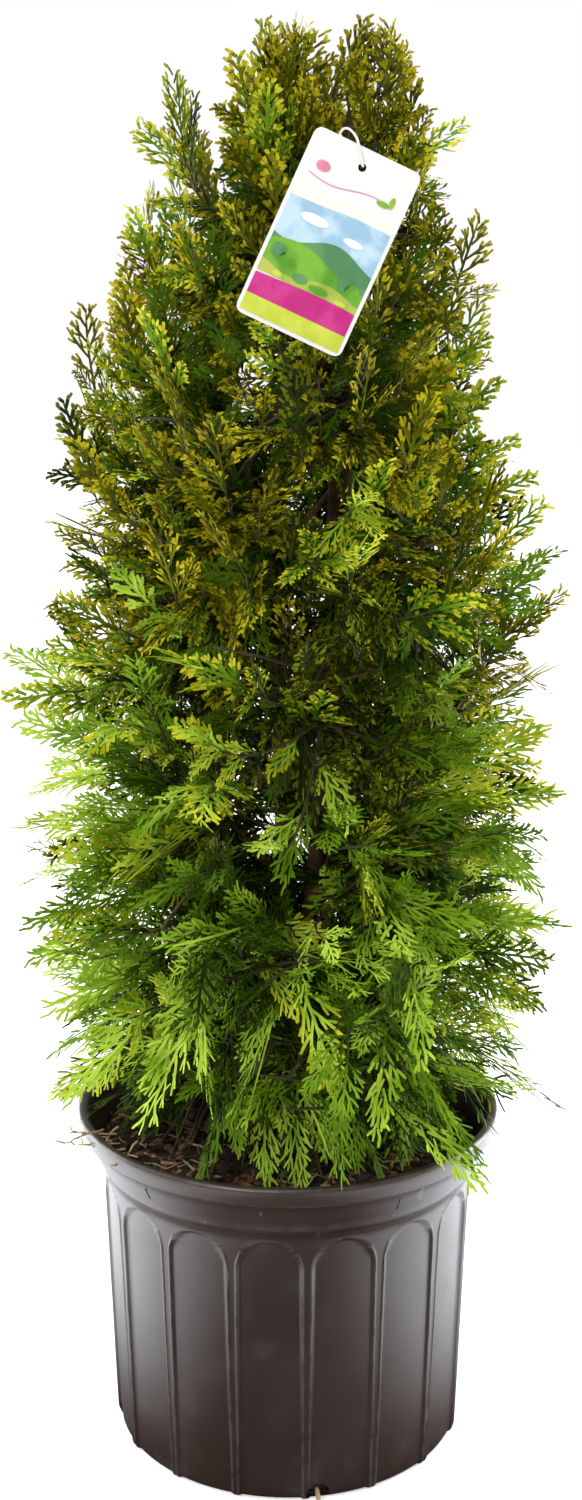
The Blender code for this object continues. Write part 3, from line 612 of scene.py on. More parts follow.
def bearing(degrees: float) -> np.ndarray:
    """Unit vector on the ground at this bearing, 0 at +X and -90 to the front."""
    return np.array((math.cos(math.radians(degrees)), math.sin(math.radians(degrees)), 0.0))


def tube_shape(
    line: Rows, sides: int, relief: float = 0.0, seed: int = 0
) -> tuple[np.ndarray, Faces]:
    """A capped tube along rows of x, y, z and radius.

    Args:
        line: The rows.
        sides: How many faces go round it.
        relief: Height of the bark's ridges as a share of the radius.
        seed: Where the ridges lie.

    Returns:
        Its points and its faces.
    """
    line = np.asarray(line, float)
    places, radii = line[:, :3], line[:, 3]
    heads = unit(np.gradient(places, axis=0))
    side = unit(np.cross(heads[0], (0.31, 0.95, 0.02)))
    angles = np.arange(sides) * 2 * math.pi / sides
    along = np.concatenate(([0.0], np.cumsum(np.linalg.norm(np.diff(places, axis=0), axis=1))))
    rng = np.random.default_rng(seed)
    waves = [(k, *rng.uniform(0, 6.3, 2), rng.uniform(20, 60)) for k in (3, 5, 7, 9, 11)]
    rings = []
    for place, head, radius, far in zip(places, heads, radii, along):
        side = unit(side - head * side.dot(head))
        other = np.cross(head, side)
        swell = np.ones(sides)
        if relief:
            bark = sum(
                np.cos(k * angles + turn + 1.3 * math.sin(far * pace + shift)) / (2 + k / 4)
                for k, turn, shift, pace in waves
            )
            swell += relief * (np.abs(bark) - 0.35) + relief * 0.4 * rng.uniform(-1, 1, sides)
        rings.append(
            place
            + radius
            * swell[:, None]
            * (np.cos(angles)[:, None] * side + np.sin(angles)[:, None] * other)
        )
    return np.vstack(rings), capped_faces(len(rings), sides)


# Growth: the rule of the solids


@dataclass
class Mass:
    """One mass of foliage with the bough that carries it and the twigs that fill it."""

    node: str
    middle: np.ndarray
    way: float | None = None
    bough: Rows | None = None
    stem: Rows | None = None
    twigs: list[Rows] = field(default_factory=list)


@dataclass
class Crown:
    """The crown's outline and its limbs, laid out by the same sizes as the solids."""

    soil_height: float = 0.2080
    gap: float = 0.0003
    row_spacing: float = 0.034
    trunk_points: tuple = (
        (-0.0240, -0.0125, 0.1980, 0.0150),
        (-0.0215, -0.0118, 0.219, 0.0098),
        (-0.014, -0.008, 0.255, 0.0080),
        (0.000, 0.000, 0.324, 0.0070),
        (-0.003, 0.002, 0.420, 0.0054),
        (-0.006, 0.004, 0.550, 0.0044),
        (-0.004, 0.003, 0.690, 0.0032),
        (-0.001, 0.001, 0.800, 0.0018),
    )
    leader_points: tuple = (
        (0.001, 0.000, 0.320, 0.0040),
        (0.007, 0.000, 0.336, 0.0053),
        (0.014, 0.000, 0.362, 0.0054),
        (0.023, 0.003, 0.450, 0.0048),
        (0.028, 0.004, 0.570, 0.0042),
        (0.030, 0.002, 0.690, 0.0032),
        (0.041, -0.001, 0.800, 0.0018),
    )
    reach_left: tuple = (
        (0.200, 0.130), (0.235, 0.168), (0.286, 0.163), (0.308, 0.184), (0.342, 0.154),
        (0.383, 0.188), (0.440, 0.163), (0.517, 0.172), (0.556, 0.162), (0.612, 0.131),
        (0.650, 0.150), (0.742, 0.125), (0.775, 0.095), (0.814, 0.100), (0.871, 0.075),
    )
    reach_right: tuple = (
        (0.200, 0.120), (0.235, 0.157), (0.280, 0.176), (0.314, 0.153), (0.358, 0.189),
        (0.385, 0.170), (0.437, 0.182), (0.540, 0.162), (0.600, 0.167), (0.650, 0.152),
        (0.742, 0.117), (0.790, 0.120), (0.814, 0.103), (0.871, 0.084),
    )
    plumes: tuple = (
        ("left_plume", -0.022, 0.000, 0.850, 0.060, 0.9240),
        ("right_plume", 0.054, -0.002, 0.854, 0.046, 0.9250),
    )
    mass_count: int = 23
    mass_lowest: float = 0.246
    mass_highest: float = 0.772
    mass_crowding: float = 1.12
    mass_share: float = 0.60
    first_way: float = -72.0
    bough_radius: float = 0.0031
    bough_of_parent: float = 0.66
    bough_taper: tuple = (0.80, 0.58)
    bough_sag: float = 0.004
    bough_rise: float = 0.048
    bough_share: float = 0.30
    lowest_root: float = 0.221
    lowest_tip: float = 0.234
    stem_radius: float = 0.0017
    stem_taper: tuple = (0.85, 0.60)
    stem_straight: float = 0.010
    stem_bend: float = 0.6
    stem_bow: float = 0.05
    stem_share: float = 0.72
    stem_rise: float = 0.062
    below_fork: float = 0.300
    past_fork: float = 0.336

    def __post_init__(self) -> None:
        """Lays out the stems, then the masses with their boughs."""
        self.trunk = smooth_rows(self.trunk_points, self.row_spacing)
        self.leader = smooth_rows(self.leader_points, self.row_spacing)
        self.masses = self.side_masses() + self.plume_masses()

    def reach(self, way: float | np.ndarray, height: float | np.ndarray) -> np.ndarray:
        """How far the crown reaches from the axis at a bearing and a height."""
        share = (1 + np.cos(np.radians(way))) / 2
        left = np.interp(height, *zip(*self.reach_left))
        right = np.interp(height, *zip(*self.reach_right))
        return left + (right - left) * share

    def at_height(self, line: Rows, height: float) -> Rows:
        """The row of a stem's line at a height."""
        return np.array([np.interp(height, line[:, 2], line[:, axis]) for axis in range(4)])

    def clear_of(self, point: np.ndarray, line: Rows, margin: float) -> bool:
        """Whether a point keeps this far outside a limb's surface."""
        start, end = line[:-1], line[1:]
        along = (end - start)[:, :3]
        share = ((point - start[:, :3]) * along).sum(axis=1) / (along**2).sum(axis=1)
        share = np.clip(share, 0, 1)
        radius = start[:, 3] + (end - start)[:, 3] * share
        away = np.linalg.norm(point - start[:, :3] - along * share[:, None], axis=1)
        return bool((away >= radius + margin).all())

    def passes(self, line: Rows, limb: Rows) -> bool:
        """Whether a limb's line stays clear of another limb all along."""
        steps = [
            low + (high - low) * step / 4 for low, high in zip(line, line[1:]) for step in range(5)
        ]
        return all(self.clear_of(row[:3], limb, row[3] + 2 * self.gap) for row in steps)

    def bough_line(self, parent: Rows, root_height: float, start: np.ndarray) -> Rows:
        """A bough's rows, from inside its parent stem to where its mass starts."""
        root = self.at_height(parent, root_height)
        radius = min(self.bough_radius, self.bough_of_parent * root[3])
        bend = (root[:3] + start) / 2 - (0, 0, self.bough_sag)
        rows = (
            (*root[:3], radius),
            (*bend, radius * self.bough_taper[0]),
            (*start, radius * self.bough_taper[1]),
        )
        return smooth_rows(rows, self.row_spacing)

    def stem_line(
        self, start: np.ndarray, heading: np.ndarray, bend: np.ndarray, end: np.ndarray
    ) -> Rows:
        """A tapering stem that sets off straight from a limb's tip and bends to its end."""
        rows = (
            (*start, self.stem_radius),
            (*(start + heading * self.stem_straight), self.stem_radius),
            (*bend, self.stem_radius * self.stem_taper[0]),
            (*end, self.stem_radius * self.stem_taper[1]),
        )
        return smooth_rows(rows, self.row_spacing)

    def side_masses(self) -> list[Mass]:
        """The masses that climb in a spiral round the stems, each on its bough."""
        masses = []
        for index in range(self.mass_count):
            rise = ((index + 0.5) / self.mass_count) ** self.mass_crowding
            height = self.mass_lowest + (self.mass_highest - self.mass_lowest) * rise
            way = self.first_way + index * GOLDEN_DEG
            reach = float(self.reach(way, height))
            middle = bearing(way) * reach * self.mass_share + (0, 0, height)
            mass = Mass(f"mass_{index + 1:02}", middle, way)
            start_height = max(height - self.stem_rise / 2, self.lowest_tip)
            root_height = max(start_height - self.bough_rise, self.lowest_root)
            start = bearing(way) * reach * self.bough_share + (0, 0, start_height)
            for parent, other, root in (
                (self.trunk, self.leader, root_height),
                (self.leader, self.trunk, max(root_height, self.past_fork)),
                (self.trunk, self.leader, min(root_height, self.below_fork)),
            ):
                mass.bough = self.bough_line(parent, root, start)
                if self.passes(mass.bough, other):
                    break
            heading = unit((mass.bough[-1] - mass.bough[-2])[:3])
            end = bearing(way) * reach * self.stem_share + (0, 0, start_height + self.stem_rise)
            bend = (start + end) / 2 + bearing(way) * self.stem_bow * reach
            mass.stem = self.stem_line(start + heading * self.gap, heading, bend, end)
            masses.append(mass)
        return masses

    def plume_masses(self) -> list[Mass]:
        """The two masses that carry on from the leaders' tips."""
        masses = []
        for (name, x, y, middle, _, top), line in zip(self.plumes, (self.trunk, self.leader)):
            heading = unit((line[-1] - line[-2])[:3])
            start = line[-1][:3] + heading * self.gap
            end = np.array(((x + start[0]) / 2, y, top - 0.030))
            bend = start + (end - start) * self.stem_bend
            mass = Mass(name, np.array((x, y, middle)))
            mass.stem = self.stem_line(start, heading, bend, end)
            masses.append(mass)
        return masses


@dataclass
class Keepouts:
    """Places that foliage stays out of: the pot, the soil and the view of the tag's face."""

    collar_radius: float = 0.1240
    pot_height: float = 0.230
    skirt_lift: float = 0.006
    lip_radius: float = 0.1408
    drape_height: float = 0.196
    soil_height: float = 0.2080
    tag_hole: tuple = (0.0415, -0.1000, 0.8310)
    tag_size: tuple = (0.0650, 0.1110)
    tag_drop: float = 0.0105
    tag_lean_deg: float = 25.0
    tag_tilt_deg: float = 7.0
    card_depth: float = 0.0008
    pot_margin: float = 0.001
    soil_margin: float = 0.003
    margin: float = 0.0012
    box_margin: tuple = (0.003, 0.003, 0.0006)

    def tag_axes(self) -> tuple[np.ndarray, np.ndarray, np.ndarray]:
        """The tag's own directions: across, up and out of its face."""
        lean, tilt = math.radians(self.tag_lean_deg), math.radians(self.tag_tilt_deg)
        across = np.array((math.cos(lean), 0.0, -math.sin(lean)))
        up = np.array((math.sin(lean), 0.0, math.cos(lean))) * math.cos(tilt)
        up = unit(up + np.array((0.0, math.sin(tilt), 0.0)))
        return across, up, np.cross(across, up)

    def blocks(self, points: np.ndarray, over_rim: bool = False) -> np.ndarray:
        """Which points lie where foliage can't be; over_rim lets them hang outside the lip."""
        across, up, out = self.tag_axes()
        middle = np.array(self.tag_hole) + up * (self.tag_drop - self.tag_size[1] / 2)
        offset = points - middle
        before_tag = (
            (np.abs(offset @ across) < self.tag_size[0] / 2 + self.margin)
            & (np.abs(offset @ up) < self.tag_size[1] / 2 + self.margin)
            & (offset @ out > -self.margin - self.card_depth)
        )
        radius = np.hypot(points[..., 0], points[..., 1])
        inside_pot = radius < self.collar_radius - self.margin
        skirt = self.pot_height + self.skirt_lift
        if over_rim:
            low, high = self.drape_height, self.pot_height + self.pot_margin
            skirt = np.where(radius > self.lip_radius, low, high)
        lowest = np.where(inside_pot, self.soil_height + self.soil_margin, skirt)
        return before_tag | (points[..., 2] < lowest) | self.outside(points, self.box_margin)

    def outside(self, points: np.ndarray, margin: tuple) -> np.ndarray:
        """Which points lie out of the solids' box, or within this margin of its faces."""
        low, high = (np.array(corner) for corner in CAD_BOX)
        return ((points < low + margin) | (points > high - margin)).any(axis=-1)


@dataclass(frozen=True)
class PhotoLens:
    """The photograph's camera: where it stands, how it looks down and its focal length."""

    place: tuple = (0.001, -1.345, 0.816)
    pitch_deg: float = 14.4
    focal_px: float = 2160.0
    frame_px: tuple = (582, 1500)
    middle_px: float = 289.5

    def pixel(self, point: np.ndarray) -> tuple[float, float]:
        """Where a point falls in the photograph."""
        x, y, z = np.asarray(point) - self.place
        pitch = math.radians(self.pitch_deg)
        depth = y * math.cos(pitch) - z * math.sin(pitch)
        up = y * math.sin(pitch) + z * math.cos(pitch)
        scale = self.focal_px / depth
        return self.middle_px + scale * x, self.frame_px[1] / 2 - scale * up


# Fans


@dataclass(frozen=True)
class FanShape:
    """One flat fan: fingers on both sides of a rib, each forked near its tip. Sizes in metres."""

    length: float
    half_width: float
    fingers: int
    lean_deg: float
    most_forks: int
    stalk: float
    tip: float
    fork: float


class FanStyle(Enum):
    """The ways that fans are cut on different parts of the crown."""

    COMB = FanShape(0.066, 0.46, 11, 31.0, 3, 0.00165, 0.0022, 0.0084)
    LACE = FanShape(0.048, 0.50, 10, 38.0, 3, 0.00140, 0.0022, 0.0064)
    CLUSTER = FanShape(0.041, 0.44, 10, 36.0, 3, 0.00165, 0.0026, 0.0054)
    LIMP = FanShape(0.066, 0.52, 9, 27.0, 2, 0.00120, 0.0016, 0.0100)


class FanPart(Enum):
    """Which part of a fan a stretch of branchlet belongs to."""

    CORE = 0
    MIDDLE = 1
    TIP = 2


@dataclass
class Strip:
    """One branchlet of a fan: its flat centreline, widths and whether it is the rib."""

    points: list[np.ndarray]
    widths: np.ndarray
    rib: bool = False
    outer: bool = False


class FanKit:
    """The set of fan meshes that the foliage is dealt from, each split into its three parts."""

    VARIANTS = 6
    BLUNT = 0.62
    SHORT_FORK = 0.007
    CORE_END = 0.34
    TIP_START = 0.22

    def __init__(self, seed: int) -> None:
        """Builds every variant of every style.

        Args:
            seed: What the fans' chance is drawn from.
        """
        self.shapes = ShapeStore("fan_kit")
        self.triangles: list[list[int]] = []
        rng = random.Random(seed)
        for style in FanStyle:
            for _ in range(self.VARIANTS):
                self.triangles.append(self.build(len(self.triangles), style.value, rng))

    def pick(self, style: FanStyle, rng: random.Random) -> int:
        """The number of one variant of a style."""
        return list(FanStyle).index(style) * self.VARIANTS + rng.randrange(self.VARIANTS)

    def build(self, index: int, shape: FanShape, rng: random.Random) -> list[int]:
        """Makes one fan's three part meshes and returns their triangle counts."""
        piles = [MeshPile() for _ in FanPart]
        cup = rng.uniform(-0.8, 1.4)
        for strip in self.strips(shape, rng):
            self.add_strip(piles, strip, shape, cup, rng)
        counts = []
        for part, pile in zip(FanPart, piles):
            name = f"fan_{index:02}_{part.value}"
            mesh = pile.mesh(name)
            along = mesh.attributes.new("along", "FLOAT", "POINT")
            share = np.vstack(pile.points)[:, 0] / shape.length
            along.data.foreach_set("value", np.clip(share, 0, 1.2).astype(np.float32))
            self.shapes.add(name, mesh)
            counts.append(sum(len(face) - 2 for face in pile.faces))
        return counts

    def strips(self, shape: FanShape, rng: random.Random) -> list[Strip]:
        """The rib, the fingers and the forks of a fan, flat, in its own plane."""
        bow = rng.uniform(-0.14, 0.14)
        shares = np.linspace(0, 1, 6)
        rib = [self.on_rib(shape, bow, share) for share in shares]
        found = [Strip(rib, np.linspace(shape.stalk * 1.2, shape.stalk, 6), True)]
        first_side = rng.choice((-1, 1))
        for index in range(shape.fingers):
            share = 0.05 + 0.90 * index / (shape.fingers - 1)
            side = first_side * (-1) ** index
            swell = min(1.0, 0.5 + share * 1.7)
            reach = shape.half_width * shape.length * (swell * (1 - share) ** 0.7 + 0.16)
            reach *= rng.uniform(0.82, 1.15)
            lean = math.radians(shape.lean_deg * (1 - 0.25 * share) + rng.uniform(-4, 4))
            turn = -side * rng.uniform(-0.05, 0.35)
            start = self.on_rib(shape, bow, share)
            finger = self.bent(start, side * lean + 1.6 * bow * share, reach, turn, 4)
            found.append(Strip(finger, np.linspace(shape.stalk, shape.tip, 4)))
            for fork in range(min(shape.most_forks, int(reach / 0.0050))):
                found.append(self.fork(shape, finger, index, fork, side, rng))
        return found

    def on_rib(self, shape: FanShape, bow: float, share: float) -> np.ndarray:
        """The place on a fan's bowed rib at a share of its length."""
        return np.array((share * shape.length, bow * shape.length * share**2))

    def fork(
        self,
        shape: FanShape,
        finger: list[np.ndarray],
        index: int,
        fork: int,
        side: int,
        rng: random.Random,
    ) -> Strip:
        """One fork of a finger; the first is nearest its tip."""
        share = 0.72 - 0.22 * fork + rng.uniform(-0.05, 0.05)
        spot = min(2, int(share * 3))
        ahead = finger[spot + 1] - finger[spot]
        start = finger[spot] + ahead * (share * 3 - spot)
        outer = side * (1 if fork % 2 == index // 2 % 2 else -1)
        angle = math.atan2(ahead[1], ahead[0]) + outer * math.radians(rng.uniform(26, 36))
        length = shape.fork * (0.75 + 0.35 * fork) * rng.uniform(0.8, 1.25)
        return Strip(
            self.bent(start, angle, length, -outer * 0.3, 3),
            np.linspace(shape.stalk * 0.9, shape.tip, 3),
            outer=fork == 0,
        )

    def bent(
        self, start: np.ndarray, angle: float, length: float, turn: float, count: int
    ) -> list[np.ndarray]:
        """Points along a stretch that sets off at an angle and turns evenly by another."""
        points = [np.array(start)]
        for step in range(count - 1):
            way = angle + turn * (step + 0.5) / (count - 1)
            points.append(points[-1] + length / (count - 1) * np.array((math.cos(way), math.sin(way))))
        return points

    def add_strip(
        self,
        piles: list[MeshPile],
        strip: Strip,
        shape: FanShape,
        cup: float,
        rng: random.Random,
    ) -> None:
        """Adds one branchlet to the parts that its stretches belong to; the rib is roofed."""
        tilt, lift = rng.uniform(-0.5, 0.5), rng.uniform(-0.16, 0.16)
        last = len(strip.points) - 1
        rows = []
        for index, (point, width) in enumerate(zip(strip.points, strip.widths)):
            ahead = strip.points[min(index + 1, last)] - strip.points[max(index - 1, 0)]
            ahead = ahead / max(np.linalg.norm(ahead), 1e-9)
            half = width / 2 * (self.BLUNT if index == last else 1.0)
            over = np.array((-ahead[1], ahead[0])) * half
            depth = cup * point[1] ** 2 / shape.length
            depth += lift * float(np.linalg.norm(point - strip.points[0]))
            row = [(*(point + over), depth + tilt * half), (*(point - over), depth - tilt * half)]
            if strip.rib:
                row.insert(1, (*point, depth + half * 0.7))
            rows.append(row)
        for index in range(last):
            far = strip.points[index + 1][0] / shape.length
            part = FanPart.CORE if far < self.CORE_END else FanPart.MIDDLE
            if index == last - 1 and (far > self.TIP_START or not strip.rib):
                part = FanPart.TIP
            if strip.outer and shape.fork < self.SHORT_FORK:
                part = FanPart.TIP
            quads = [(0, 3, 4, 1), (1, 4, 5, 2)] if strip.rib else [(0, 2, 3, 1)]
            piles[part.value].add(np.array([*rows[index], *rows[index + 1]]), quads)


@dataclass
class Spot:
    """Where one shape goes: its place, turn, size and how far its end sags."""

    place: np.ndarray
    turn: tuple[float, float, float, float]
    size: tuple[float, float, float]
    sag: float = 0.0


def quaternion(heading: np.ndarray, across: np.ndarray) -> tuple[float, float, float, float]:
    """The turn that takes +X to a heading and +Y as near as can be to across."""
    across = unit(across - heading * heading.dot(across))
    columns = Matrix((heading, across, np.cross(heading, across))).transposed()
    return tuple(columns.to_quaternion())


class Scatter:
    """Deals small shapes out on points by one Geometry Nodes tree, as one plain mesh a piece."""

    DROOP = 1.0

    def __init__(self) -> None:
        """Builds the tree with its named inputs."""
        self.tree = bpy.data.node_groups.new("set_shapes_on_points", "GeometryNodeTree")
        self.sockets: dict[str, str] = {}
        for name, kind in (
            ("Points", "NodeSocketGeometry"),
            ("Shapes", "NodeSocketCollection"),
            ("Material", "NodeSocketMaterial"),
            ("Droop", FLOAT),
        ):
            socket = self.tree.interface.new_socket(name, in_out="INPUT", socket_type=kind)
            self.sockets[name] = socket.identifier
        self.tree.interface.new_socket("Mesh", in_out="OUTPUT", socket_type="NodeSocketGeometry")
        self.lay_nodes(NodeBench(self.tree))

    def lay_nodes(self, bench: NodeBench) -> None:
        """Sets shapes on the points, lets their far ends droop and gives them a material."""
        given, leave = bench.add("NodeGroupInput").outputs, bench.add("NodeGroupOutput")

        def stored(name: str, kind: str) -> Socket:
            """The values of a named attribute."""
            return bench.add("GeometryNodeInputNamedAttribute", {"Name": name}, data_type=kind).outputs[0]

        shapes = bench.add(
            "GeometryNodeCollectionInfo",
            {"Collection": given["Shapes"], "Separate Children": True, "Reset Children": True},
        )
        dealt = bench.add(
            "GeometryNodeInstanceOnPoints",
            {
                "Points": given["Points"],
                "Instance": shapes.outputs[0],
                "Pick Instance": True,
                "Instance Index": stored("part", "INT"),
                "Rotation": stored("turn", "QUATERNION"),
                "Scale": stored("size", "FLOAT_VECTOR"),
            },
        )
        real = bench.add("GeometryNodeRealizeInstances", {"Geometry": dealt.outputs[0]})
        bend = bench.maths("POWER", stored("along", "FLOAT"), 2.0)
        fall = bench.maths("MULTIPLY", bend, stored("sag", "FLOAT"))
        drop = bench.maths("MULTIPLY", fall, given["Droop"])
        offset = bench.add("ShaderNodeCombineXYZ", {"Z": bench.maths("MULTIPLY", drop, -1.0)})
        moved = bench.add(
            "GeometryNodeSetPosition", {"Geometry": real.outputs[0], "Offset": offset.outputs[0]}
        )
        dyed = bench.add(
            "GeometryNodeSetMaterial", {"Geometry": moved.outputs[0], "Material": given["Material"]}
        )
        self.tree.links.new(dyed.outputs[0], leave.inputs["Mesh"])

    def piece(
        self,
        name: str,
        shapes: ShapeStore,
        batch: list[tuple[Spot, int]],
        material: bpy.types.Material,
    ) -> bpy.types.Object:
        """Makes one joined piece.

        Args:
            name: The piece's name.
            shapes: The shapes to deal out.
            batch: Where each shape goes, and its number among the shapes.
            material: The piece's material.

        Returns:
            A plain mesh object with every shape in it.
        """
        spots, parts = zip(*batch)
        mesh = bpy.data.meshes.new(name)
        mesh.from_pydata([tuple(spot.place) for spot in spots], [], [])
        columns = {
            "part": ("INT", "value", np.array(parts, np.int32)),
            "turn": ("QUATERNION", "value", np.array([spot.turn for spot in spots], np.float32)),
            "size": ("FLOAT_VECTOR", "vector", np.array([spot.size for spot in spots], np.float32)),
            "sag": ("FLOAT", "value", np.array([spot.sag for spot in spots], np.float32)),
        }
        for label, (kind, key, values) in columns.items():
            mesh.attributes.new(label, kind, "POINT").data.foreach_set(key, values.ravel())
        obj = linked(name, mesh)
        modifier = obj.modifiers.new("scatter", "NODES")
        modifier.node_group = self.tree
        inputs = {"Shapes": shapes.collection, "Material": material, "Droop": self.DROOP}
        for label, value in inputs.items():
            modifier[self.sockets[label]] = value
        made = evaluated_copy(obj, material)
        for label in (*columns, "along"):
            attribute = made.data.attributes.get(label)
            if attribute:
                made.data.attributes.remove(attribute)
        return made


@dataclass(frozen=True)
class Layer:
    """One layer of branch ends: its share of the crown's reach, its count and first bearing."""

    share: float
    count: int
    first_way: float


@dataclass(frozen=True)
class SkyGap:
    """A place of the photograph where the sky shows through, in its pixels."""

    x: float
    y: float
    half_width: float
    half_height: float
    bareness: float
    deepest: float = 1.0
    tips: bool = False

    def holds(self, x: float, y: float, depth: float) -> bool:
        """Whether a pixel lies in the gap, no further back than the gap goes."""
        across, up = (x - self.x) / self.half_width, (y - self.y) / self.half_height
        return math.hypot(across, up) < 1 and depth < self.deepest


@dataclass
class Branch:
    """One plume: a curved branch that carries fans on both sides and one at its tip."""

    line: Rows
    across: np.ndarray
    kind: FanKind
    style: FanStyle
    over_rim: bool = False


@dataclass
class Fan:
    """One fan that was placed: its spot, its kind and its style."""

    spot: Spot
    kind: FanKind
    style: FanStyle


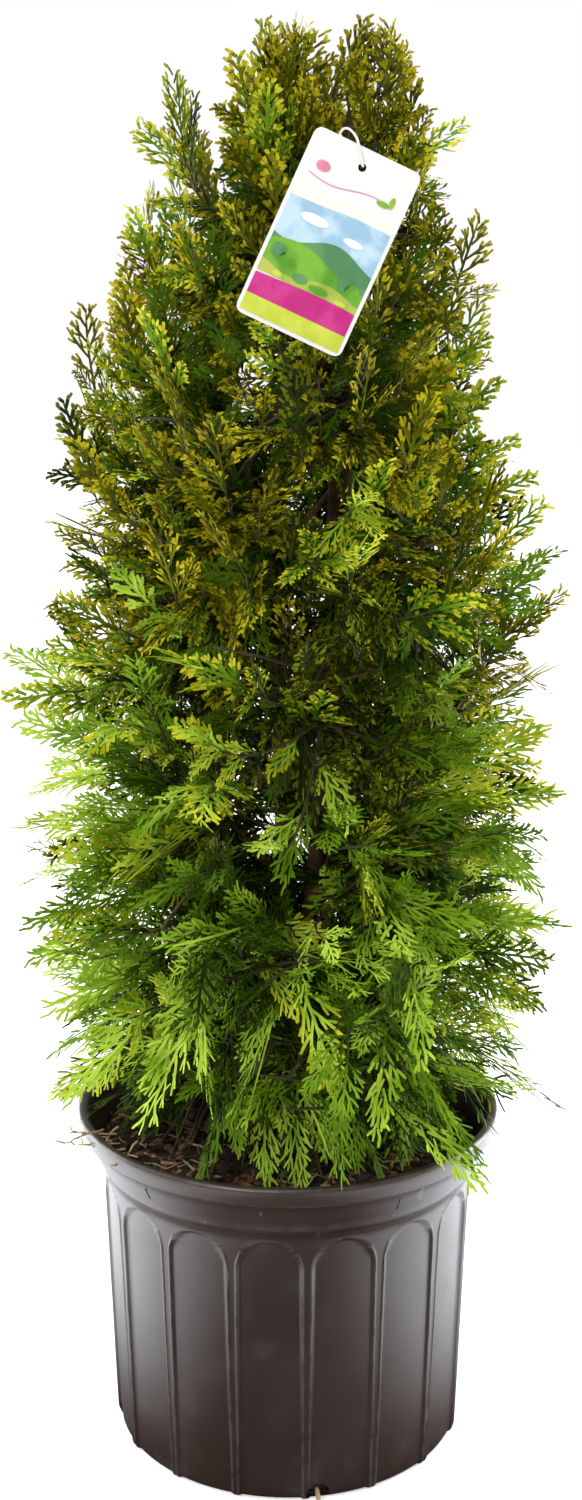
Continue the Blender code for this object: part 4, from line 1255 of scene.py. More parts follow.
@dataclass
class Foliage:
    """Every plume of the crown with the fans on it."""

    crown: Crown
    keepouts: Keepouts
    lens: PhotoLens
    layers: tuple[Layer, ...] = (
        Layer(1.00, 372, 0.0),
        Layer(0.84, 172, 40.0),
        Layer(0.62, 92, 80.0),
        Layer(0.40, 44, 120.0),
    )
    lowest: float = 0.238
    plume_foot: float = 0.795
    overlap: float = 0.02
    height_steps: int = 400
    unevenness: float = 0.16
    plume_branches: tuple[int, int] = (42, 26)
    plume_lines: tuple = (
        ((0.79, -0.030, 0.062), (0.85, -0.030, 0.056), (0.88, -0.022, 0.046),
         (0.90, -0.004, 0.028), (0.925, 0.004, 0.004)),
        ((0.79, 0.054, 0.044), (0.85, 0.055, 0.034), (0.88, 0.055, 0.028),
         (0.90, 0.055, 0.018), (0.925, 0.053, 0.004)),
    )
    twigs_each: int = 6
    twig_spacing: float = 0.012
    twig_radii: tuple = (0.0013, 0.0011, 0.0008)
    wish_length: float = 0.075
    root_chance: float = 0.12
    branch_rows: int = 10
    branch_radii: tuple = (0.0013, 0.0006)
    roll_stray: float = 24.0
    turned_share: tuple = (0.15, 0.60)
    stray_deg: tuple[float, float] = (26.0, 22.0)
    rise: tuple = (
        (0.200, -30.0), (0.270, -14.0), (0.340, -2.0), (0.420, 12.0), (0.520, 30.0),
        (0.620, 50.0), (0.720, 63.0), (0.800, 72.0), (0.925, 84.0),
    )
    line_spacing: float = 0.008
    fan_spacing: float = 0.25
    fan_lean: tuple = (34, 48)
    fan_stray: float = 15.0
    fan_least: float = 0.72
    fan_tries: int = 3
    shortened: float = 0.72
    drape_shortened: float = 0.90
    box_shortened: float = 0.78
    farthest: tuple = ((1.16, 0.0), (1.0, 0.22), (1.0, -0.22))
    bare_share: float = 0.06
    shaded_share: float = 0.80
    hang_deg: float = 30.0
    hang_top: float = 0.40
    drapes: tuple = (
        (-41.0, 0.040, 0.284, 0.104, 0.266, FanKind.FRESH),
        (-50.0, 0.035, 0.280, 0.108, 0.262, FanKind.BRIGHT),
        (-61.0, 0.030, 0.268, 0.094, 0.250, FanKind.FRESH),
        (-88.0, 0.035, 0.292, 0.074, 0.266, FanKind.BRIGHT),
        (-101.0, 0.030, 0.284, 0.066, 0.262, FanKind.BRIGHT),
        (-118.0, 0.045, 0.280, 0.084, 0.262, FanKind.FRESH),
    )
    drape_bow: tuple = (
        (0.0, 0.0, 0.0012), (0.55, 0.15, 0.0010), (0.85, 0.55, 0.0008), (1.0, 1.0, 0.0006),
    )
    clump_scale: tuple = (17.0, 17.0, 8.0)
    clump_offset: tuple = (84.28, 19.93, 43.26)
    clump_stray: float = 0.13
    clump_spread: float = 0.43
    shade_sprays: int = 56
    spray_radii: tuple = (0.0011, 0.0009, 0.0006)
    olive_floor: float = 0.40
    style_zones: tuple = (
        (0.60, (0.00, 0.40, 0.60, 0.00)),
        (0.50, (0.08, 0.52, 0.40, 0.00)),
        (0.40, (0.46, 0.34, 0.18, 0.02)),
        (0.30, (0.60, 0.15, 0.10, 0.15)),
        (0.00, (0.50, 0.05, 0.00, 0.45)),
    )
    # Each row shares out the first seven kinds of fan, from light to dark.
    # The core, inner, shaded and foot rows lean to dark kinds: painted shade inside the crown and under
    # it.
    core_shares: tuple = (0.00, 0.00, 0.00, 0.00, 0.00, 0.15, 0.85)
    inner_shares: tuple = (0.04, 0.02, 0.00, 0.00, 0.10, 0.42, 0.42)
    shaded_shares: tuple = (0.00, 0.00, 0.00, 0.00, 0.10, 0.45, 0.45)
    foot_shares: tuple = (0.00, 0.00, 0.01, 0.10, 0.22, 0.37, 0.30)
    foot_height: float = 0.30
    foot_radius: float = 0.10
    foot_front: float = -0.05
    left_edge: float = -0.055
    right_edge: float = 0.05
    # A floor height, then the shares left of the middle, in it and right of it.
    zones: tuple = (
        (0.62, *[(0.66, 0.22, 0.02, 0.00, 0.00, 0.00, 0.10)] * 3),
        (
            0.50,
            (0.10, 0.22, 0.18, 0.12, 0.26, 0.07, 0.05),
            (0.30, 0.30, 0.08, 0.02, 0.08, 0.09, 0.13),
            (0.28, 0.28, 0.06, 0.00, 0.16, 0.12, 0.10),
        ),
        (
            0.40,
            (0.00, 0.08, 0.22, 0.28, 0.32, 0.10, 0.00),
            (0.06, 0.34, 0.20, 0.08, 0.16, 0.09, 0.07),
            (0.04, 0.32, 0.16, 0.06, 0.24, 0.13, 0.05),
        ),
        (
            0.345,
            (0.00, 0.01, 0.15, 0.36, 0.36, 0.09, 0.03),
            (0.00, 0.03, 0.22, 0.32, 0.28, 0.09, 0.06),
            (0.00, 0.08, 0.28, 0.24, 0.25, 0.10, 0.05),
        ),
        (
            0.0,
            (0.00, 0.00, 0.18, 0.52, 0.26, 0.03, 0.01),
            (0.00, 0.02, 0.30, 0.44, 0.20, 0.03, 0.01),
            (0.00, 0.05, 0.34, 0.40, 0.17, 0.03, 0.01),
        ),
    )
    channels: tuple = (
        (-92.0, 8.0, 0.27, 0.54), (-66.0, 5.0, 0.40, 0.62), (-122.0, 5.0, 0.34, 0.52),
        (-45.0, 6.0, 0.30, 0.44), (-142.0, 5.0, 0.45, 0.60), (-20.0, 6.0, 0.42, 0.58),
        (172.0, 6.0, 0.36, 0.50), (152.0, 6.0, 0.30, 0.54), (106.0, 7.0, 0.34, 0.60),
        (76.0, 6.0, 0.30, 0.52), (27.0, 6.0, 0.46, 0.64),
    )
    channel_bareness: float = 0.80
    channel_sway: float = 3.0
    channel_pace: float = 40.0
    channel_fade: float = 1.4
    channel_slope: float = 2.2
    gaps: tuple[SkyGap, ...] = (
        SkyGap(258, 372, 24, 32, 0.80),
        SkyGap(150, 940, 40, 62, 0.45),
        SkyGap(445, 955, 34, 38, 0.60),
        SkyGap(305, 915, 12, 44, 0.70),
        SkyGap(60, 1015, 62, 44, 0.50),
        SkyGap(530, 1040, 44, 40, 0.45),
        SkyGap(82, 515, 34, 22, 0.60),
        SkyGap(336, 95, 8, 62, 0.90),
        SkyGap(298, 880, 26, 125, 0.62, deepest=-0.03),
        SkyGap(262, 690, 22, 90, 0.55, deepest=-0.04),
        SkyGap(345, 480, 30, 70, 0.50, deepest=-0.03),
        SkyGap(195, 1160, 115, 32, 0.92, tips=True),
        SkyGap(345, 1182, 80, 18, 0.85, tips=True),
        SkyGap(290, 1140, 120, 40, 0.35),
        SkyGap(455, 1105, 22, 30, 0.55),
    )
    piece_triangles: int = 185000
    seed: int = 41

    def grow_twigs(self) -> None:
        """Gives each mass its side twigs, finer and more than the solids have."""
        rng = random.Random(self.seed)
        for mass in self.crown.masses:
            stem = smooth_rows(mass.stem, self.twig_spacing)
            tip = stem[-1]
            for step in range(self.twigs_each):
                row = stem[min(len(stem) - 2, 1 + round(step * (len(stem) - 3) / 5.5))]
                side = (-1) ** step
                if mass.way is None:
                    aside = bearing(rng.uniform(0, 360)) * 0.016
                    end = row[:3] + (tip - row)[:3] * 0.7 + aside
                else:
                    reach = math.hypot(tip[0], tip[1]) * (0.74 + 0.05 * step)
                    end = bearing(mass.way + side * (10 + 3.5 * step)) * reach
                    end[2] = row[2] + rng.uniform(-0.012, 0.030)
                bend = (row[:3] + end) / 2 + (0, 0, rng.uniform(-0.004, 0.006))
                places = (row[:3], bend, end)
                rows = [(*place, radius) for place, radius in zip(places, self.twig_radii)]
                mass.twigs.append(smooth_rows(rows, self.twig_spacing))

    def layer_places(self, layer: Layer, rng: random.Random) -> list[np.ndarray]:
        """Places in a spiral that lie evenly over the crown at a share of its reach."""
        heights = np.linspace(self.lowest, self.plume_foot + self.overlap, self.height_steps)
        reaches = self.crown.reach(90.0, heights)
        due = np.cumsum(reaches) * layer.count / reaches.sum()
        places = []
        for height, wanted in zip(heights, due):
            while len(places) < wanted:
                way = layer.first_way + len(places) * GOLDEN_DEG
                reach = float(self.crown.reach(way, height)) * layer.share
                reach *= 1 - self.unevenness * rng.random() ** 2
                kept = rng.random() > self.channel_at(way, height) * self.channel_bareness
                places.append(bearing(way) * reach + (0, 0, height) if kept else None)
        return places

    def channel_at(self, way: float, height: float) -> float:
        """How deep in one of the crown's dark upright channels a place lies, from 0 to 1."""
        deepest = 0.0
        for middle, half, low, high in self.channels:
            wave = self.channel_sway * math.sin(height * self.channel_pace + middle)
            aside = abs((way - middle - wave + 180) % 360 - 180) / half
            if low < height < high and aside < self.channel_fade:
                depth = self.channel_slope * (self.channel_fade - aside)
                deepest = max(deepest, min(1.0, depth))
        return deepest

    def plume_places(self, line: tuple, count: int) -> list[np.ndarray]:
        """So many places in and round a leader's plume, which narrows to its point."""
        heights, middles, widths = (np.array(column) for column in zip(*line))
        places = []
        for index in range(count):
            share = (index + 1) / count
            height = self.plume_foot + (heights[-1] - self.plume_foot) * share**0.85
            reach = float(np.interp(height, heights, widths)) * (1.0 if index % 3 else 0.5)
            middle = np.array((np.interp(height, heights, middles), 0.0, height))
            places.append(middle + bearing(index * GOLDEN_DEG) * reach)
        return places

    def kind_at(self, place: np.ndarray, share: float, rng: random.Random) -> FanKind:
        """Deals a branch's kind by where it is on the crown, in upright clumps from light to dark.

        Args:
            place: The branch's end.
            share: Its layer's share of the crown's reach.
            rng: What chance is drawn from.

        Returns:
            The kind.
        """
        x, y, height = place
        # Deeper layers, and most of the second layer, deal darker kinds: painted shade inside the crown.
        if share < 0.5:
            weights = self.core_shares
        elif share < 0.7:
            weights = self.inner_shares
        else:
            weights = self.outer_weights(x, y, height)
        if 0.7 < share < 0.9 and rng.random() < self.shaded_share:
            weights = self.shaded_shares
        wave = noise.noise(Vector(place * self.clump_scale) + Vector(self.clump_offset))
        wave += rng.gauss(0, self.clump_stray)
        picked = sum(weights) * (1 + math.erf(wave / self.clump_spread)) / 2
        kind = FanKind.GOLDEN
        for kind, weight in zip(FanKind, weights):
            picked -= weight
            if picked < 0:
                break
        return FanKind.GLOOM if kind is FanKind.SHADE and height < self.olive_floor else kind

    def outer_weights(self, x: float, y: float, height: float) -> tuple[float, ...]:
        """How the kinds are shared out on the crown's outside, by height and side."""
        # The crown's foot and its low front deal darker kinds: painted shade under the crown.
        if height < self.foot_height and (math.hypot(x, y) < self.foot_radius or y < self.foot_front):
            return self.foot_shares
        for floor, left, middle, right in self.zones:
            if height > floor:
                return left if x < self.left_edge else right if x > self.right_edge else middle
        return self.zones[-1][2]

    def style_at(self, height: float, rng: random.Random) -> FanStyle:
        """Deals a style of fan by height: combs and limp fans low, lace and clusters high."""
        weights = next(shares for floor, shares in self.style_zones if height > floor)
        return rng.choices(list(FanStyle), weights)[0]

    def grow(self) -> None:
        """Finds every branch, and every fan on it."""
        self.grow_twigs()
        rng = random.Random(self.seed + 1)
        ends = [
            (place, layer.share)
            for layer in self.layers
            for place in self.layer_places(layer, rng)
            if place is not None
        ]
        for line, count in zip(self.plume_lines, self.plume_branches):
            ends += [(place, 1.0) for place in self.plume_places(line, count)]
        middles = np.array([mass.middle for mass in self.crown.masses])
        roots = [
            np.vstack([smooth_rows(line, 0.006)[1:, :3] for line in (mass.stem, *mass.twigs)])
            for mass in self.crown.masses
        ]
        self.branches: list[Branch] = []
        self.fans: list[Fan] = []
        for end, share in ends:
            nearest = int(np.argmin(np.linalg.norm(middles - end, axis=1)))
            self.branches.append(self.grow_branch(end, share, roots[nearest], rng))
        self.branches += self.rim_drapes() + self.soil_sprays(rng)
        for branch in self.branches:
            self.grow_fans(branch, rng)
        LOG.info("branches: %d, fans: %d", len(self.branches), len(self.fans))

    def rim_drapes(self) -> list[Branch]:
        """The low branches that hang over the soil and the rim."""
        made = []
        for way, start, high, end, low, kind in self.drapes:
            rows = []
            for share, drop, radius in self.drape_bow:
                x, y, _ = bearing(way) * (start + (end - start) * share)
                rows.append((x, y, high + (low - high) * drop, radius))
            line = smooth_rows(rows, self.line_spacing)
            across = bearing(way + 90)
            made.append(Branch(line, across, kind, FanStyle.COMB, over_rim=True))
        return made

    def soil_sprays(self, rng: random.Random) -> list[Branch]:
        """Limp sprays in the shade, from the crown's foot down to the soil, in dark kinds that paint that
        shade.
        """
        made = []
        for index in range(self.shade_sprays):
            way = index * GOLDEN_DEG + rng.uniform(-12, 12)
            start = bearing(way) * rng.uniform(0.020, 0.050) + (-0.01, 0, rng.uniform(0.238, 0.285))
            end = bearing(way) * rng.uniform(0.070, 0.108) + (-0.008, 0, rng.uniform(0.214, 0.226))
            bend = (start + end) / 2 + (0, 0, 0.012)
            rows = [(*place, radius) for place, radius in zip((start, bend, end), self.spray_radii)]
            kind = rng.choice((FanKind.GLOOM, FanKind.DULL, FanKind.DULL))
            across = unit(bearing(way + 90) + (0, 0, rng.gauss(0, 0.4)))
            line = smooth_rows(rows, self.line_spacing)
            made.append(Branch(line, across, kind, FanStyle.LIMP))
        return made

    def grow_branch(
        self, end: np.ndarray, share: float, roots: np.ndarray, rng: random.Random
    ) -> Branch:
        """The branch whose last fan ends here, from the best place on its mass's twigs."""
        style = self.style_at(end[2], rng)
        aside, up = (rng.uniform(-stray, stray) for stray in self.stray_deg)
        way = math.degrees(math.atan2(end[1], end[0])) + aside
        front = abs(math.sin(math.radians(way)))
        hang = self.hang_deg * front * min(1.0, max(0.0, (self.hang_top - end[2]) / 0.10))
        rise = math.radians(min(88.0, float(np.interp(end[2], *zip(*self.rise))) + up - hang))
        wish = bearing(way) * math.cos(rise) + (0, 0, math.sin(rise))
        tip = end - wish * style.value.length * 0.85
        reach = tip - roots
        far = np.linalg.norm(reach, axis=1)
        cost = np.abs(far / self.wish_length - 1) * 0.8 - (unit(reach) @ wish)
        root = roots[int(np.argmin(cost + self.root_chance * np.array([rng.random() for _ in far])))]
        length = float(np.linalg.norm(tip - root))
        bend = tip - wish * length * 0.5
        shares = np.linspace(0, 1, self.branch_rows)[:, None]
        places = (1 - shares) ** 2 * root + 2 * shares * (1 - shares) * bend + shares**2 * tip
        radii = np.linspace(*self.branch_radii, self.branch_rows)[:, None]
        level = unit(np.cross(wish, (0.0, 0.0, 1.0)) + (1e-6, 0, 0))
        upright = np.cross(level, wish)
        least, more = self.turned_share
        roll = rng.gauss(0, self.roll_stray)
        roll = math.radians(roll + (90 if rng.random() < least + more * front else 0))
        across = upright * math.cos(roll) + level * math.sin(roll)
        kind = self.kind_at(end, share, rng)
        return Branch(np.hstack((places, radii)), across, kind, style)

    def grow_fans(self, branch: Branch, rng: random.Random) -> None:
        """Sets fans alternately along a branch and one at its tip."""
        places = branch.line[:, :3]
        steps = np.linalg.norm(np.diff(places, axis=0), axis=1)
        along = np.concatenate(([0.0], np.cumsum(steps)))
        heads = unit(np.gradient(places, axis=0))
        leafy = along[-1] * (1 - self.bare_share)
        count = max(3, round(leafy / (self.fan_spacing * branch.style.value.length)))
        full = branch.style.value.length
        for index in range(count + 1):
            share = (index + 0.3) / count
            far = along[-1] - leafy * (1 - min(share, 1.0))
            place = np.array([np.interp(far, along, places[:, axis]) for axis in range(3)])
            head = unit(np.array([np.interp(far, along, heads[:, axis]) for axis in range(3)]))
            side = (-1) ** index
            out = np.cross(head, branch.across)
            last = index == count
            lean = 0.0 if last else math.radians(rng.uniform(*self.fan_lean) * (1 - 0.35 * share))
            stray = math.radians(rng.gauss(0, self.fan_stray))
            heading = head * math.cos(lean) + side * branch.across * math.sin(lean)
            heading = unit(heading * math.cos(stray) + out * math.sin(stray))
            length = full * (1.0 if last else rng.uniform(self.fan_least, 1.0) * (1 - 0.22 * share))
            across = unit(branch.across * side + out * rng.gauss(0, 0.35))
            kind = branch.kind
            # Fans near the branch's foot often take a darker kind: painted shade.
            if share < 0.35 and rng.random() < 0.6:
                kind = DARKER.get(kind, kind)
            self.place_fan(place, heading, across, length, kind, branch, rng)

    def place_fan(
        self,
        base: np.ndarray,
        heading: np.ndarray,
        across: np.ndarray,
        length: float,
        kind: FanKind,
        branch: Branch,
        rng: random.Random,
    ) -> None:
        """Adds a fan, made shorter or left out where foliage can't be."""
        style = branch.style
        across = unit(across - heading * heading.dot(across))
        level = math.hypot(heading[0], heading[1])
        half = style.value.half_width
        near, far = ((0.4, half), (0.4, -half)), ((0.75, half * 0.8), (0.75, -half * 0.8))
        corners = ((0.1, 0), *near, *far, (1.02, 0))
        for _ in range(self.fan_tries * (1 + branch.over_rim)):
            sag = length * rng.uniform(0.02, 0.24) * level
            test = np.array(
                [base + (heading * a + across * b) * length - (0, 0, sag * a * a) for a, b in corners]
            )
            if not self.keepouts.blocks(test, branch.over_rim).any():
                break
            length *= self.drape_shortened if branch.over_rim else self.shortened
        else:
            return
        bareness = self.bareness_at(base + heading * length * 0.5, test[-1])
        if rng.random() < bareness - branch.over_rim:
            return
        size = length / style.value.length
        ahead, aside = zip(*self.farthest)
        ends = base + np.outer(ahead, heading) * length
        ends += np.outer(aside, across) * length
        if self.keepouts.outside(ends, (0.0, 0.0, 0.0)).any():
            size *= self.box_shortened
        stretch = (size, size * rng.uniform(0.88, 1.12), size)
        spot = Spot(base, quaternion(heading, across), stretch, sag)
        self.fans.append(Fan(spot, kind, style))

    def bareness_at(self, middle: np.ndarray, tip: np.ndarray) -> float:
        """How bare the photograph is where a fan would show, from 0 to 1."""
        found = [0.0]
        for gap in self.gaps:
            tested = (middle, tip) if gap.tips else (middle,)
            if any(gap.holds(*self.lens.pixel(place), place[1]) for place in tested):
                found.append(gap.bareness)
        return max(found)

    def build(self, finishes: Finishes, scatter: Scatter) -> list[bpy.types.Object]:
        """Makes the foliage pieces, one kind of colour each, and the twigs' piece."""
        nodes = [mass.node for mass in self.crown.masses]
        kit = FanKit(self.seed)
        rng = random.Random(self.seed + 2)
        numbers = [kit.pick(fan.style, rng) for fan in self.fans]
        pieces = []
        for tone in LeafTone:
            for number, batch in enumerate(self.batches(kit, numbers, tone), 1):
                name = f"leaves_{tone.value}_{number}"
                pieces.append(scatter.piece(name, kit.shapes, batch, finishes.leaves[tone]))
        kit.shapes.clear()
        for piece in pieces:
            dress(piece, "foliage", *nodes)
        pile = MeshPile()
        for mass in self.crown.masses:
            stem = smooth_rows(mass.stem, self.line_spacing)
            pile.add(*tube_shape(stem, 7, 0.10, len(pile.points)))
            for twig in mass.twigs:
                pile.add(*tube_shape(twig, 5))
        for branch in self.branches:
            pile.add(*tube_shape(branch.line, 4))
        pieces.append(dress(pile.piece("twigs", finishes.plain["twig"]), "bark", *nodes))
        return pieces

    def batches(
        self, kit: FanKit, numbers: list[int], tone: LeafTone
    ) -> list[list[tuple[Spot, int]]]:
        """The parts of all fans that wear a tone, in batches that each fit in one piece."""
        found: list[list[tuple[Spot, int]]] = [[]]
        total = 0
        for fan, variant in zip(self.fans, numbers):
            for part, worn in zip(FanPart, fan.kind.value):
                if worn is not tone:
                    continue
                count = kit.triangles[variant][part.value]
                if total + count > self.piece_triangles:
                    found.append([])
                    total = 0
                found[-1].append((fan.spot, len(FanPart) * variant + part.value))
                total += count
        return [batch for batch in found if batch]


@dataclass
class Limbs:
    """Trunk, second leader and boughs, with the relief of their bark."""

    crown: Crown
    spacing: float = 0.0035

    def build(self, finishes: Finishes) -> list[bpy.types.Object]:
        """Makes the limbs' pieces."""
        bark = finishes.plain["bark"]
        trunk = smooth_rows(self.crown.trunk, self.spacing)
        trunk = trunk[trunk[:, 2] > self.crown.soil_height - 0.002]
        pieces = []
        for name, line, sides, relief in (
            ("trunk_bark", trunk, 26, 0.16),
            ("leader_bark", smooth_rows(self.crown.leader, self.spacing), 20, 0.16),
        ):
            pile = MeshPile()
            pile.add(*tube_shape(line, sides, relief, len(name)))
            node = "trunk" if name.startswith("trunk") else "second_leader"
            pieces.append(dress(pile.piece(name, bark), "bark", node))
        pile = MeshPile()
        names = []
        for seed, mass in enumerate(self.crown.masses):
            if mass.bough is not None:
                line = smooth_rows(mass.bough, self.spacing)
                pile.add(*tube_shape(line, 12, 0.12, seed))
                names.append(mass.node.replace("mass", "bough"))
        pieces.append(dress(pile.piece("boughs_bark", bark), "bark", *names))
        return pieces


# Pot and soil


@dataclass
class Pot:
    """The fluted nursery pot: its turned form, pressed panels, drain notches and mould marks."""

    rim_radius: float = 0.140
    height: float = 0.230
    lip_depth: float = 0.0125
    lip_width: float = 0.0058
    collar_radius: float = 0.1350
    collar_foot: tuple = (0.1268, 0.1965)
    body_top: tuple = (0.1234, 0.1915)
    body_foot: tuple = (0.1170, 0.007)
    wall: float = 0.0028
    floor: float = 0.0032
    panel_count: int = 16
    panel_width: float = 0.0400
    panel_radius: float = 0.1205
    panel_depth: float = 0.0013
    panel_bead: float = 0.00070
    bead_width: float = 0.00062
    bead_offset: float = 0.0010
    # How light the painted highlight is along the panels' beads and the lip's and collar's rings.
    bead_highlight: float = 0.34
    ring_highlight: float = 0.22
    panel_top: float = 0.1865
    panel_first_deg: float = -95.6
    notch_count: int = 4
    notch_radius: float = 0.0078
    notch_height: float = 0.0045
    notch_sill: float = 0.0009
    notch_first_deg: float = -80.5
    notch_reach: tuple = (0.110, 0.128)
    notch_sides: int = 28
    mark_ways: tuple = (-132.0, -58.5, 42.0, 128.0)
    mark_half: float = 0.0045
    mark_blunt: float = 0.0007
    mark_radius: float = 0.0007
    mark_inset: float = 0.0033
    mark_level: float = 0.2075
    mark_lean_deg: float = 29.0

    def profile(self) -> list[tuple[float, float]]:
        """Outer and inner outline, from the underside's middle round to the floor's."""
        lip_foot = self.height - self.lip_depth
        foot, top = self.body_foot, self.body_top
        rim, high = self.rim_radius, self.height
        rows = [(0.0, 0.0), (0.060, 0.0), (foot[0] - 0.0052, 0.0)]
        rows += [
            (foot[0] - 0.0052 + 0.0052 * math.sin(a), 0.0070 * (1 - math.cos(a)))
            for a in np.linspace(0.3, math.pi / 2, 6)
        ]
        for start, end, count in ((foot[1], 0.150, 8), (0.150, top[1] - 0.001, 46)):
            for z in np.linspace(start, end, count)[1:]:
                share = (z - foot[1]) / (top[1] - foot[1])
                rows.append((foot[0] + (top[0] - foot[0]) * share, float(z)))
        rows += [
            (top[0], top[1]),
            (top[0] + 0.0011, top[1] + 0.0008),
            (self.collar_foot[0] - 0.0007, self.collar_foot[1] - 0.0012),
            (self.collar_foot[0], self.collar_foot[1] + 0.0004),
            (self.collar_foot[0] + 0.0025, self.collar_foot[1] + 0.0060),
            (self.collar_radius - 0.0022, lip_foot - 0.0085),
            (self.collar_radius, lip_foot - 0.0030),
            (self.collar_radius + 0.0004, lip_foot - 0.0008),
            (self.collar_radius + 0.0012, lip_foot),
            (rim - 0.0020, lip_foot),
            (rim - 0.0010, lip_foot + 0.0006),
            (rim - 0.0004, lip_foot + 0.0022),
            (rim, lip_foot + 0.0070),
            (rim, high - 0.0026),
            (rim - 0.0006, high - 0.0010),
            (rim - 0.0018, high - 0.0002),
            (rim - 0.0030, high),
            (rim - self.lip_width + 0.0012, high - 0.0001),
            (rim - self.lip_width, high - 0.0012),
            (rim - self.lip_width - 0.0010, high - 0.0060),
            (top[0] - self.wall, top[1]),
            (foot[0] - self.wall, foot[1]),
            (foot[0] - self.wall - 0.0025, self.floor),
            (0.0, self.floor),
        ]
        return rows

    def columns(self) -> np.ndarray:
        """Bearings of the mesh's columns, closer together at the panels' edges."""
        half = math.degrees(self.panel_width / 2 / self.panel_radius)
        inner = np.linspace(0, half - 1.3, 7)
        edge = half + np.array((-0.75, -0.4, -0.1, 0.12, 0.30, 0.48, 0.66, 0.90, 1.2))
        side = np.concatenate((inner, edge))
        offsets = np.concatenate((-side[::-1][:-1], side))
        period = 360 / self.panel_count
        ways = [self.panel_first_deg + k * period + offsets for k in range(self.panel_count)]
        return np.concatenate(ways)

    def recess(self, offset_deg: np.ndarray, radius: float, height: float) -> np.ndarray:
        """How far the wall goes in for a panel, less the bead along its outline."""
        half = self.panel_width / 2
        across = np.radians(offset_deg) * radius
        over = max(0.0, height - (self.panel_top - half))
        inside = half - np.hypot(across, over)
        pressed = np.clip((inside + 0.0003) / 0.0014, 0, 1)
        pressed = pressed * pressed * (3 - 2 * pressed)
        return pressed * self.panel_depth - self.bead_at(inside) * self.panel_bead

    def bead_at(self, inside: np.ndarray) -> np.ndarray:
        """The bead's height from 0 to 1, by how far inside a panel's outline a place is."""
        return np.exp(-(((inside + self.bead_offset) / self.bead_width) ** 2))

    def highlight_at(self, offset_deg: np.ndarray, radius: float, height: float) -> np.ndarray:
        """How much painted highlight a place takes: along the beads, the lip and the collar's foot."""
        half = self.panel_width / 2
        across = np.radians(offset_deg) * radius
        over = max(0.0, height - (self.panel_top - half))
        bead = self.bead_at(half - np.hypot(across, over)) * (height < self.body_top[1])
        rings = ((self.height - 0.0010, 0.0009), (self.height - self.lip_depth + 0.0006, 0.0007),
                 (self.collar_foot[1], 0.0008))
        edge = sum(math.exp(-(((height - level) / wide) ** 2)) for level, wide in rings)
        ring = edge * (radius > self.body_foot[0])
        return np.clip(self.bead_highlight * bead + self.ring_highlight * ring, 0, 1)

    def groove(self, height: float) -> float:
        """How much painted shade a height takes, as duller gloss: under the lip and under the collar."""
        levels = ((self.height - self.lip_depth - 0.0022, 0.0022), (self.body_top[1] - 0.0015, 0.0030))
        return min(1.0, sum(math.exp(-(((height - level) / wide) ** 2)) for level, wide in levels))

    def build(self, finishes: Finishes, scatter: Scatter) -> list[bpy.types.Object]:
        """Makes the pot and its mould marks."""
        ways = self.columns()
        period = 360 / self.panel_count
        offsets = (ways - self.panel_first_deg + period / 2) % period - period / 2
        rows = self.profile()
        rings, worn, groove_shading = [], [], []
        outer = True
        for radius, height in rows[1:-1]:
            if radius < self.rim_radius - 0.004 and height > self.height - 0.008:
                outer = False
            shape = np.full(len(ways), radius)
            if outer and radius > 0.110 and height < self.body_top[1]:
                shape = shape - self.recess(offsets, radius, height)
            # Per point: painted highlight along the edges.
            worn.append(self.highlight_at(offsets, radius, height) * outer)
            # Per point: painted shade under the lip and the collar, as duller gloss.
            groove_shading.append(np.full(len(ways), self.groove(height) * outer))
            turn = np.radians(ways)
            heights = np.full(len(ways), height)
            rings.append(np.stack((shape * np.cos(turn), shape * np.sin(turn), heights), axis=1))
        count = len(ways)
        faces = grid_faces(len(rings), count, True)
        last = len(rings) * count
        bottom = [(last, (k + 1) % count, k) for k in range(count)]
        inner = (len(rings) - 1) * count
        top = [(last + 1, inner + k, inner + (k + 1) % count) for k in range(count)]
        pile = MeshPile()
        pile.add(np.vstack((*rings, [(0, 0, 0), (0, 0, self.floor)])), faces + bottom + top)
        pot = pile.piece("pot_shell", finishes.pot)
        for label, values in (("edge_wear", worn), ("groove", groove_shading)):
            layer = pot.data.attributes.new(label, "FLOAT", "POINT")
            layer.data.foreach_set("value", np.concatenate((*values, (0.0, 0.0))).astype(np.float32))
        pot = self.notched(pot, finishes.pot)
        pot.data.set_sharp_from_angle(angle=math.radians(50))
        return [dress(pot, "pot_plastic", "pot"), self.mould_marks(finishes, scatter)]

    def notched(self, pot: bpy.types.Object, material: bpy.types.Material) -> bpy.types.Object:
        """Cuts the half-round drain notches through the foot of the wall."""
        cutters = ShapeStore("notch_cutters")
        turn = np.linspace(0, 2 * math.pi, self.notch_sides, endpoint=False)
        rise = np.zeros((self.notch_sides, 3))
        rise[:, 2] = self.notch_height + np.sin(turn) * self.notch_radius
        rise[:, 2] = np.maximum(rise[:, 2], self.notch_sill)
        for index in range(self.notch_count):
            way = self.notch_first_deg + index * 360 / self.notch_count
            out, side = bearing(way), bearing(way + 90)
            rings = [
                out * reach + np.cos(turn)[:, None] * side * self.notch_radius + rise
                for reach in self.notch_reach
            ]
            pile = MeshPile()
            pile.add(np.vstack(rings), capped_faces(2, self.notch_sides))
            cutters.add("notch", pile.mesh("notch", smooth=False))
        cut = pot.modifiers.new("notches", "BOOLEAN")
        cut.operation, cut.solver = "DIFFERENCE", "MANIFOLD"
        cut.operand_type, cut.collection = "COLLECTION", cutters.collection
        pot = evaluated_copy(pot, material)
        cutters.clear()
        return pot

